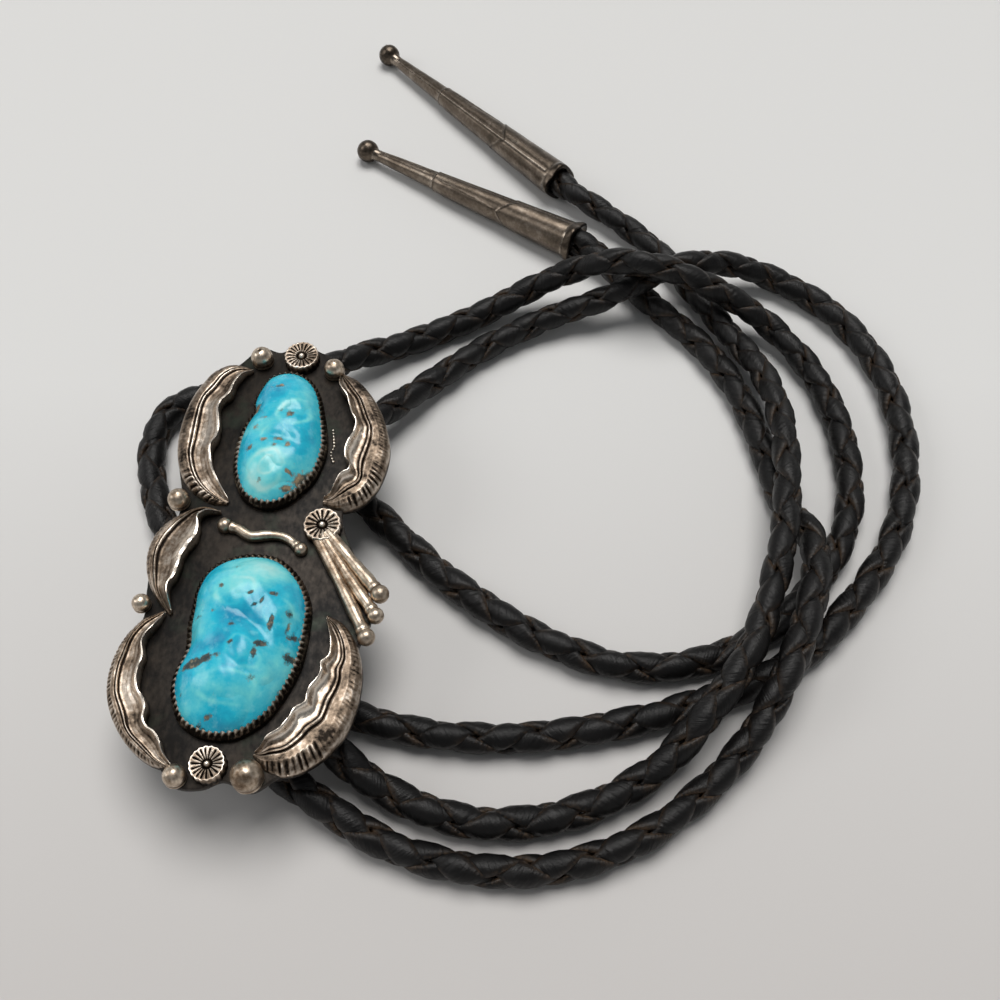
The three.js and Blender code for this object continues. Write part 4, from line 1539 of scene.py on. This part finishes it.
LOWER_STONE = Nugget(
    "lower_stone",
    outline=(
        (0.4, -2.9), (-1.9, -3.0), (-3.9, -3.7), (-5.5, -5.1), (-6.4, -7.5), (-6.5, -9.8), (-6.6, -12.1),
        (-6.4, -14.6), (-6.8, -16.3), (-7.3, -17.8), (-7.4, -19.6), (-6.9, -21.5), (-6.1, -23.2),
        (-5.0, -24.2), (-3.6, -24.9), (-1.8, -25.2), (0.2, -25.0), (2.0, -24.0), (3.6, -22.5), (5.0, -20.0),
        (6.1, -17.2), (6.5, -14.9), (6.7, -12.6), (6.7, -9.6), (5.8, -7.0), (4.2, -4.8), (2.4, -3.4),
    ),
    crown=(-0.3, -13.8), height=4.9, teeth=82,
    mounds=(
        Mound(-0.6, -7.4, 4.0, 2.6, 0, 0.75), Mound(-0.6, -11.9, 3.8, 1.5, -10, -0.62),
        Mound(4.6, -11.3, 1.6, 1.5, 0, 0.45), Mound(1.6, -13.6, 2.6, 0.8, -40, -0.55),
        Mound(-4.8, -13.4, 1.8, 1.5, 30, 0.30), Mound(-3.6, -15.9, 2.6, 1.2, 8, -0.62),
        Mound(0.6, -16.2, 1.6, 1.8, 20, 0.40), Mound(3.2, -16.0, 2.6, 0.7, -60, -0.35),
        Mound(-4.6, -17.8, 1.8, 0.8, -10, -0.50), Mound(-1.6, -19.8, 3.4, 2.0, 0, 0.60),
        Mound(3.6, -19.2, 1.6, 1.6, 0, 0.25), Mound(1.2, -19.0, 2.2, 0.5, -40, -0.25),
    ),
    facets=(
        Facet(-1.2, -21.9, -92, 4.35, 0.95), Facet(3.4, -20.6, -42, 4.1, 1.05),
        Facet(-5.6, -19.8, 195, 3.9, 1.0), Facet(-0.4, -5.4, 85, 4.5, 0.75),
        Facet(5.4, -8.4, 25, 3.9, 1.1), Facet(-5.2, -8.0, 165, 4.0, 0.9),
    ),
    spots=(
        Mound(-2.8, -8.5, 0.55, 0.35, 0, 0.58), Mound(-1.5, -5.6, 0.60, 0.40, 60, 0.40),
        Mound(0.2, -7.7, 0.35, 0.30, 0, 0.42), Mound(0.7, -9.6, 0.40, 0.28, 20, 0.80),
        Mound(3.2, -9.4, 0.60, 0.32, 0, 0.82), Mound(2.1, -10.4, 0.70, 0.22, 65, 0.66),
        Mound(1.3, -11.0, 0.60, 0.25, 20, 0.80), Mound(5.2, -11.7, 0.50, 0.50, 0, 0.66),
        Mound(3.3, -13.1, 0.95, 0.30, 84, 1.05), Mound(-0.9, -13.4, 0.60, 0.50, 40, 0.56),
        Mound(5.6, -14.2, 0.80, 0.45, 10, 0.74), Mound(-0.8, -15.7, 0.50, 0.34, 10, 0.74),
        Mound(2.4, -15.7, 0.85, 0.50, 20, 0.86), Mound(1.9, -17.0, 0.32, 0.85, 0, 0.78),
        Mound(5.4, -16.7, 0.70, 0.60, 30, 0.86), Mound(-4.9, -17.8, 1.50, 0.62, 10, 1.00),
        Mound(-3.4, -17.4, 0.85, 0.55, 20, 0.95), Mound(-2.2, -17.1, 0.45, 0.35, 0, 0.60),
        Mound(1.8, -19.6, 0.50, 0.36, 20, 0.58), Mound(4.9, -20.5, 0.50, 0.40, 20, 0.80),
        Mound(-5.2, -11.8, 0.60, 0.45, 30, 0.62), Mound(-3.4, -11.4, 0.30, 0.45, 0, 0.38),
        Mound(-2.7, -23.6, 0.60, 0.40, 20, 0.56), Mound(-6.0, -21.0, 0.25, 0.25, 0, 0.60),
        Mound(-3.6, -24.4, 0.8, 0.3, -20, 0.62), Mound(5.0, -13.6, 1.2, 0.25, 80, 0.50),
    ),
    # paler and deeper colour: partly the stone's own clouding, partly painted highlight on the swellings and
    # swirl lines and painted shade in the two hollows
    tints_and_painted_light=(
        Mound(1.8, -5.8, 3.4, 2.0, -15, 0.30), Mound(-1.0, -8.6, 2.4, 1.8, 0, 0.12),
        Mound(-1.0, -11.8, 3.6, 1.2, -12, -0.16), Mound(-3.4, -15.8, 3.0, 1.0, 0, -0.16),
        Mound(4.8, -11.4, 1.6, 1.6, 0, 0.08), Mound(3.0, -17.4, 3.0, 1.6, -50, 0.06),
        Mound(-1.4, -20.4, 4.0, 1.6, 0, 0.05), Mound(-0.6, -23.4, 4.0, 1.4, 0, -0.02),
        Swirl(-1.2, -9.1, 2.3, 1.7, 10, 0.16), Swirl(0.6, -16.8, 2.2, 1.5, -40, 0.12, 0.12),
        Swirl(-1.0, -20.6, 3.4, 1.7, -4, 0.14, 0.12), Swirl(4.0, -11.6, 1.6, 1.6, 0, 0.12),
    ),
)


# ------------------------------------------------------------------ clip, marks and tips
@dataclass
class BackClip:
    """The plain block behind the plate, with a channel for each of two cord strands."""

    middle: Point = (0.63, 4.0)
    turn: float = -4.0  # degrees
    width: float = 11.4
    length: float = 13.0
    height: float = 5.1
    gap: float = 0.3  # below the plate
    spacing: float = 5.3
    bore: float = 2.3
    strand_drop: float = 2.7  # from the plate's back to the strands
    rounding: float = 0.22
    sides: int = 48

    def _half(self, bm: bmesh.types.BMesh, side: int) -> None:
        """Adds one channel's half of the block, with its bore bridged to its square outside.

        Args:
            bm: The mesh that takes it.
            side: -1 for the left channel, 1 for the right.
        """
        centre = Vector((side * self.spacing / 2, 0, -self.strand_drop))
        inner, outer = 0.0, side * self.width / 2
        low, high = -self.gap - self.height, -self.gap
        rings = []
        for is_bore in (True, False):
            for end in (-1, 1):
                ring = bmesh.ops.create_circle(bm, segments=self.sides, radius=self.bore)["verts"]
                for vert in ring:
                    way = vert.co.normalized()
                    spot = centre + Vector((way.x, 0, way.y)) * self.bore
                    if not is_bore:
                        reach = 1 / max(abs(way.x), abs(way.y))
                        x = (outer if way.x * side > 0 else inner) - centre.x
                        z = (high if way.y > 0 else low) - centre.z
                        spot = centre + Vector((abs(way.x) * reach * x, 0, abs(way.y) * reach * z))
                    spot.y = end * self.length / 2
                    vert.co = spot
                rings.append(ring)
        loops = [list({edge for vert in ring for edge in vert.link_edges}) for ring in rings]
        for one, other in ((0, 1), (2, 3), (0, 2), (1, 3)):
            bmesh.ops.bridge_loops(bm, edges=loops[one] + loops[other])

    def build(self, finish: bpy.types.Material) -> bpy.types.Object:
        """Makes the block: two halves joined, their shared wall removed, the edges rounded.

        Args:
            finish: Its material.

        Returns:
            The block.
        """
        bm = bmesh.new()
        for side in (-1, 1):
            self._half(bm, side)
        bmesh.ops.remove_doubles(bm, verts=bm.verts, dist=0.01)
        wall = [face for face in bm.faces if all(abs(vert.co.x) < 1e-4 for vert in face.verts)]
        bmesh.ops.delete(bm, geom=wall, context="FACES")
        bmesh.ops.recalc_face_normals(bm, faces=bm.faces)
        sharp = [edge for edge in bm.edges if len(edge.link_faces) == 2 and edge.calc_face_angle() > 0.6]
        bmesh.ops.bevel(
            bm, geom=sharp, offset=self.rounding, segments=3, profile=0.5, affect="EDGES", material=-1
        )
        turn = Matrix.Rotation(math.radians(self.turn), 4, "Z")
        bmesh.ops.transform(bm, matrix=Matrix.Translation((*self.middle, 0)) @ turn, verts=bm.verts)
        place_verts(bm.verts, to_slide(positions(bm.verts)))
        return finished(bm, "back_clip_block", finish, "back_clip", flat_above=35)


@dataclass
class StampedRow:
    """A short row of tiny punched beads beside the upper stone."""

    line: tuple[Point, ...] = ((7.4, 16.3), (7.6, 14.9), (7.7, 13.7), (7.4, 12.6), (7.8, 11.4))
    count: int = 11
    radius: float = 0.21

    def build(self, finish: bpy.types.Material) -> bpy.types.Object:
        """Makes the beads as one piece.

        Args:
            finish: Their material.

        Returns:
            The row.
        """
        path = Path(self.line)
        bm = bmesh.new()
        for i in range(self.count):
            spot = path.at(np.array([path.length * i / (self.count - 1)]))[0]
            size = self.radius * (0.75 + 0.35 * math.sin(2.7 * i) ** 2)
            place = to_slide([*spot[:2], PLATE_TOP + 0.3 * size])
            bmesh.ops.create_icosphere(bm, subdivisions=2, radius=size * MM, matrix=Matrix.Translation(place))
        return finished(bm, "stamped_row", finish, "slide")


@dataclass
class ConeTip:
    """A hollow silver cone on the cord's end: ball, neck, rolled sheet in steps, turned lip."""

    name: str
    mouth: tuple[float, float, float]  # layout drawing, millimetres
    end: tuple[float, float, float]
    seam: float  # turn of the seam about the axis, radians
    ball: float = 1.8
    neck: float = 0.92
    ring: float = 1.66
    cone: float = 2.66
    lip: float = 2.92
    bore: float = 2.14
    depth: float = 4.0
    neck_from: float = 0.07  # where the neck and the cone start and end, as shares of the length
    neck_to: float = 0.34
    cone_from: float = 0.354
    cone_to: float = 0.968
    steps: int = 96

    def _profile(self, length: float) -> list[Point]:
        """Draws the outline, from the ball's pole to the mouth and back down the bore.

        Args:
            length: From the ball's middle to the mouth, in millimetres.

        Returns:
            Radius and height of each point.
        """
        start = math.asin(self.neck / self.ball)
        turns = np.linspace(0, math.pi - start, 26)
        profile = [(self.ball * math.sin(turn), -self.ball * math.cos(turn)) for turn in turns]
        for share in np.linspace(self.neck_from, self.neck_to, 24):
            rise = (share - self.neck_from) / (self.neck_to - self.neck_from)
            profile.append((self.neck + (1.46 - self.neck) * rise**0.9, share * length))
        profile += [(1.50, 0.345 * length), (self.ring, 0.350 * length)]
        for share in np.linspace(self.cone_from, self.cone_to, 130):
            rise = (share - self.cone_from) / (self.cone_to - self.cone_from)
            profile.append((self.ring - 0.02 + (self.cone - self.ring) * rise, share * length))
        mouth = (
            (self.cone, 1.3), (self.cone + 0.06, 1.1), (self.lip - 0.12, 0.55), (self.lip, 0.25),
            (self.lip, 0.08), (self.lip - 0.12, 0), (self.bore + 0.18, 0.06), (self.bore, 0.3),
            (self.bore, self.depth), (0, self.depth),
        )
        return [*profile, *((radius, length - below) for radius, below in mouth)]

    def build(self, finish: bpy.types.Material) -> bpy.types.Object:
        """Makes the tip: a spun profile, then its seams, laps, lip and dents.

        Args:
            finish: Its material.

        Returns:
            The tip.
        """
        mouth, end = to_frame(self.mouth), to_frame(self.end)
        length = float(np.linalg.norm(mouth - end)) / MM
        bm = bmesh.new()
        turned_profile(bm, self._profile(length), self.steps)
        spots = positions(bm.verts)
        radius = np.hypot(spots[:, 0], spots[:, 1])
        angle = np.arctan2(spots[:, 1], spots[:, 0])
        share = spots[:, 2] / length
        off = np.abs((angle - self.seam + math.pi) % (2 * math.pi) - math.pi)
        outside = (radius > self.bore + 0.01) | (share < 0.85)
        # a second sheet laps over the first, its edge cut to a point along the seam
        lap = smoothstep(0.0, 0.006, share - (0.655 + 0.075 * np.abs(off / math.pi * 2 - 0.9)))
        grow = 0.16 * lap * (share < 0.99)
        grow -= 0.13 * groove(off / (2 * math.pi), 0.014) * (share > 0.08) * (share < 0.96)
        wedge = smoothstep(0.36, 0.40, share) * (1 - smoothstep(0.62, 0.66, share))
        grow += 0.07 * wedge * smoothstep(0.0, 0.04, off - (0.9 + 1.2 * (share - 0.36)))
        ears = np.maximum(np.cos(off - 0.7), 0) ** 8 + np.maximum(np.cos(off - 2.6), 0) ** 8
        grow += (0.62 * ears - 0.26) * smoothstep(0.960, 0.990, share)
        on_ball = spots[:, 2] < self.ball * 0.8
        dents, hammering = 0.02 * ripple(spots, 0.6, self.seam), 0.03 * ripple(spots, 2.2, self.seam)
        grow = np.where(on_ball, dents, grow + hammering)
        scale = np.where(outside & (radius > 0.05), (radius + grow) / np.maximum(radius, 0.05), 1)
        spots[:, :2] *= scale[:, None]
        axis = Vector(mouth - end).normalized()
        turn = np.array(axis.to_track_quat("Z", "Y").to_matrix())
        placed = spots @ turn.T * MM + end
        placed[:, 2] = np.maximum(placed[:, 2], TABLE_GAP)
        place_verts(bm.verts, placed)
        node = self.name.removeprefix("cone_")
        return finished(bm, self.name, finish, node, wear_radius=0.5 * MM)


TIPS = (
    ConeTip("cone_tip_a", (9.7, 58.3, 3.03), (-19.7, 92.3, 1.8), 2.2),
    ConeTip("cone_tip_b", (11.9, 44.9, 3.03), (-21.9, 67.2, 1.8), 1.2),
)


# ------------------------------------------------------------------ the studio
@dataclass
class Studio:
    """The table, the lights and the camera."""

    elevation: float = 58.0  # degrees above the table
    distance: float = 148.65 * MM  # from the lens to the middle of the layout drawing
    lens: float = 39.6
    sensor: float = 36.0
    table_size: float = 30.0
    overhead: float = 2.31
    overhead_way: tuple[float, float, float] = (-0.06, -0.60, -1.65)
    softness: float = 40.0  # how wide the overhead light is, in degrees
    walls: tuple[float, float, float] = (0.60, 0.598, 0.59)
    ceiling: tuple[float, float, float] = (0.140, 0.145, 0.150)
    wall_height: tuple[float, float] = (0.10, 0.50)  # where the walls fade into the ceiling

    def camera(self) -> None:
        """Places the camera."""
        angle = math.radians(self.elevation)
        back = Vector((0, -math.cos(angle), math.sin(angle)))
        data = bpy.data.cameras.new("camera")
        data.lens, data.sensor_width = self.lens, self.sensor
        data.clip_start, data.clip_end = 0.005, 20
        camera = bpy.data.objects.new("camera", data)
        camera.location = Vector(to_frame((0, 0, 0))) + back * self.distance
        camera.rotation_euler = (math.pi / 2 - angle, 0, 0)
        bpy.context.scene.collection.objects.link(camera)
        bpy.context.scene.camera = camera

    def table(self, finish: bpy.types.Material) -> None:
        """Lays the table sheet.

        Args:
            finish: Its material.
        """
        bm = bmesh.new()
        bmesh.ops.create_grid(bm, x_segments=4, y_segments=4, size=self.table_size / 2)
        mesh = bpy.data.meshes.new("table_sheet")
        bm.to_mesh(mesh)
        bm.free()
        mesh.materials.append(finish)
        sheet = bpy.data.objects.new("table_sheet", mesh)
        bpy.context.scene.collection.objects.link(sheet)

    @staticmethod
    def _softbox(
        name: str, place: Sequence[float], size: float, power: float, colour: Sequence[float]
    ) -> None:
        """Hangs a square soft light that faces the tie.

        Args:
            name: The light's name.
            place: Where it hangs, in metres.
            size: Its side.
            power: Its power.
            colour: Its colour.
        """
        data = bpy.data.lights.new(name, "AREA")
        data.size, data.energy, data.color = size, power, colour
        lamp = bpy.data.objects.new(name, data)
        lamp.location = place
        lamp.rotation_euler = (-Vector(place)).to_track_quat("-Z", "Y").to_euler()
        bpy.context.scene.collection.objects.link(lamp)

    def lights(self) -> None:
        """Hangs the lights and sets the room's colour."""
        data = bpy.data.lights.new("overhead", "SUN")
        data.energy, data.color = self.overhead, (1.0, 0.985, 0.965)
        data.angle = math.radians(self.softness)
        lamp = bpy.data.objects.new("overhead", data)
        lamp.rotation_euler = Vector(self.overhead_way).to_track_quat("-Z", "Y").to_euler()
        bpy.context.scene.collection.objects.link(lamp)
        self._softbox("left_side", (-1.35, 0.06, 1.05), 0.75, 5.0, (1.0, 0.99, 0.98))
        world = bpy.data.worlds.new("room")
        world.use_nodes = True
        tree = world.node_tree
        background = tree.nodes["Background"]
        direction = tree.nodes.new("ShaderNodeTexCoord").outputs["Generated"]
        split = tree.nodes.new("ShaderNodeSeparateXYZ")
        ramp = tree.nodes.new("ShaderNodeValToRGB")
        tree.links.new(direction, split.inputs[0])
        tree.links.new(split.outputs[2], ramp.inputs[0])
        tree.links.new(ramp.outputs[0], background.inputs["Color"])
        low, high = ramp.color_ramp.elements
        low.position, low.color = self.wall_height[0], (*self.walls, 1)
        high.position, high.color = self.wall_height[1], (*self.ceiling, 1)
        scene = bpy.context.scene
        scene.world = world
        scene.view_settings.view_transform = "Standard"


def main() -> None:
    """Builds the tie round the frame, piece by piece."""
    logging.basicConfig(level=logging.INFO, format="%(name)s %(message)s")
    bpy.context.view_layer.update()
    studio = Studio()
    studio.camera()
    finishes = Finishes()
    cord = BraidedCord()
    log.info("cord: %.1f mm long", cord.path.length / MM)
    braid = cord.build(finishes.leather)
    tips = [tip.build(finishes.tip) for tip in TIPS]
    cord.declare()
    BackPlate().build(finishes.field)
    for leaf in LEAVES:
        leaf.build(finishes.silver)
    for rosette in ROSETTES:
        rosette.build(finishes.silver)
    for granule in GRANULES:
        granule.build(finishes.granule)
    for rod in RODS:
        rod.build(finishes.granule)
    stones = ((UPPER_STONE, finishes.upper_turquoise), (LOWER_STONE, finishes.lower_turquoise))
    for stone, turquoise in stones:
        stone.build(turquoise)
        stone.bezel(finishes.rim)
    StampedRow().build(finishes.rim)
    BackClip().build(finishes.clip)
    studio.table(finishes.table)
    studio.lights()


if __name__ == "__main__":
    main()
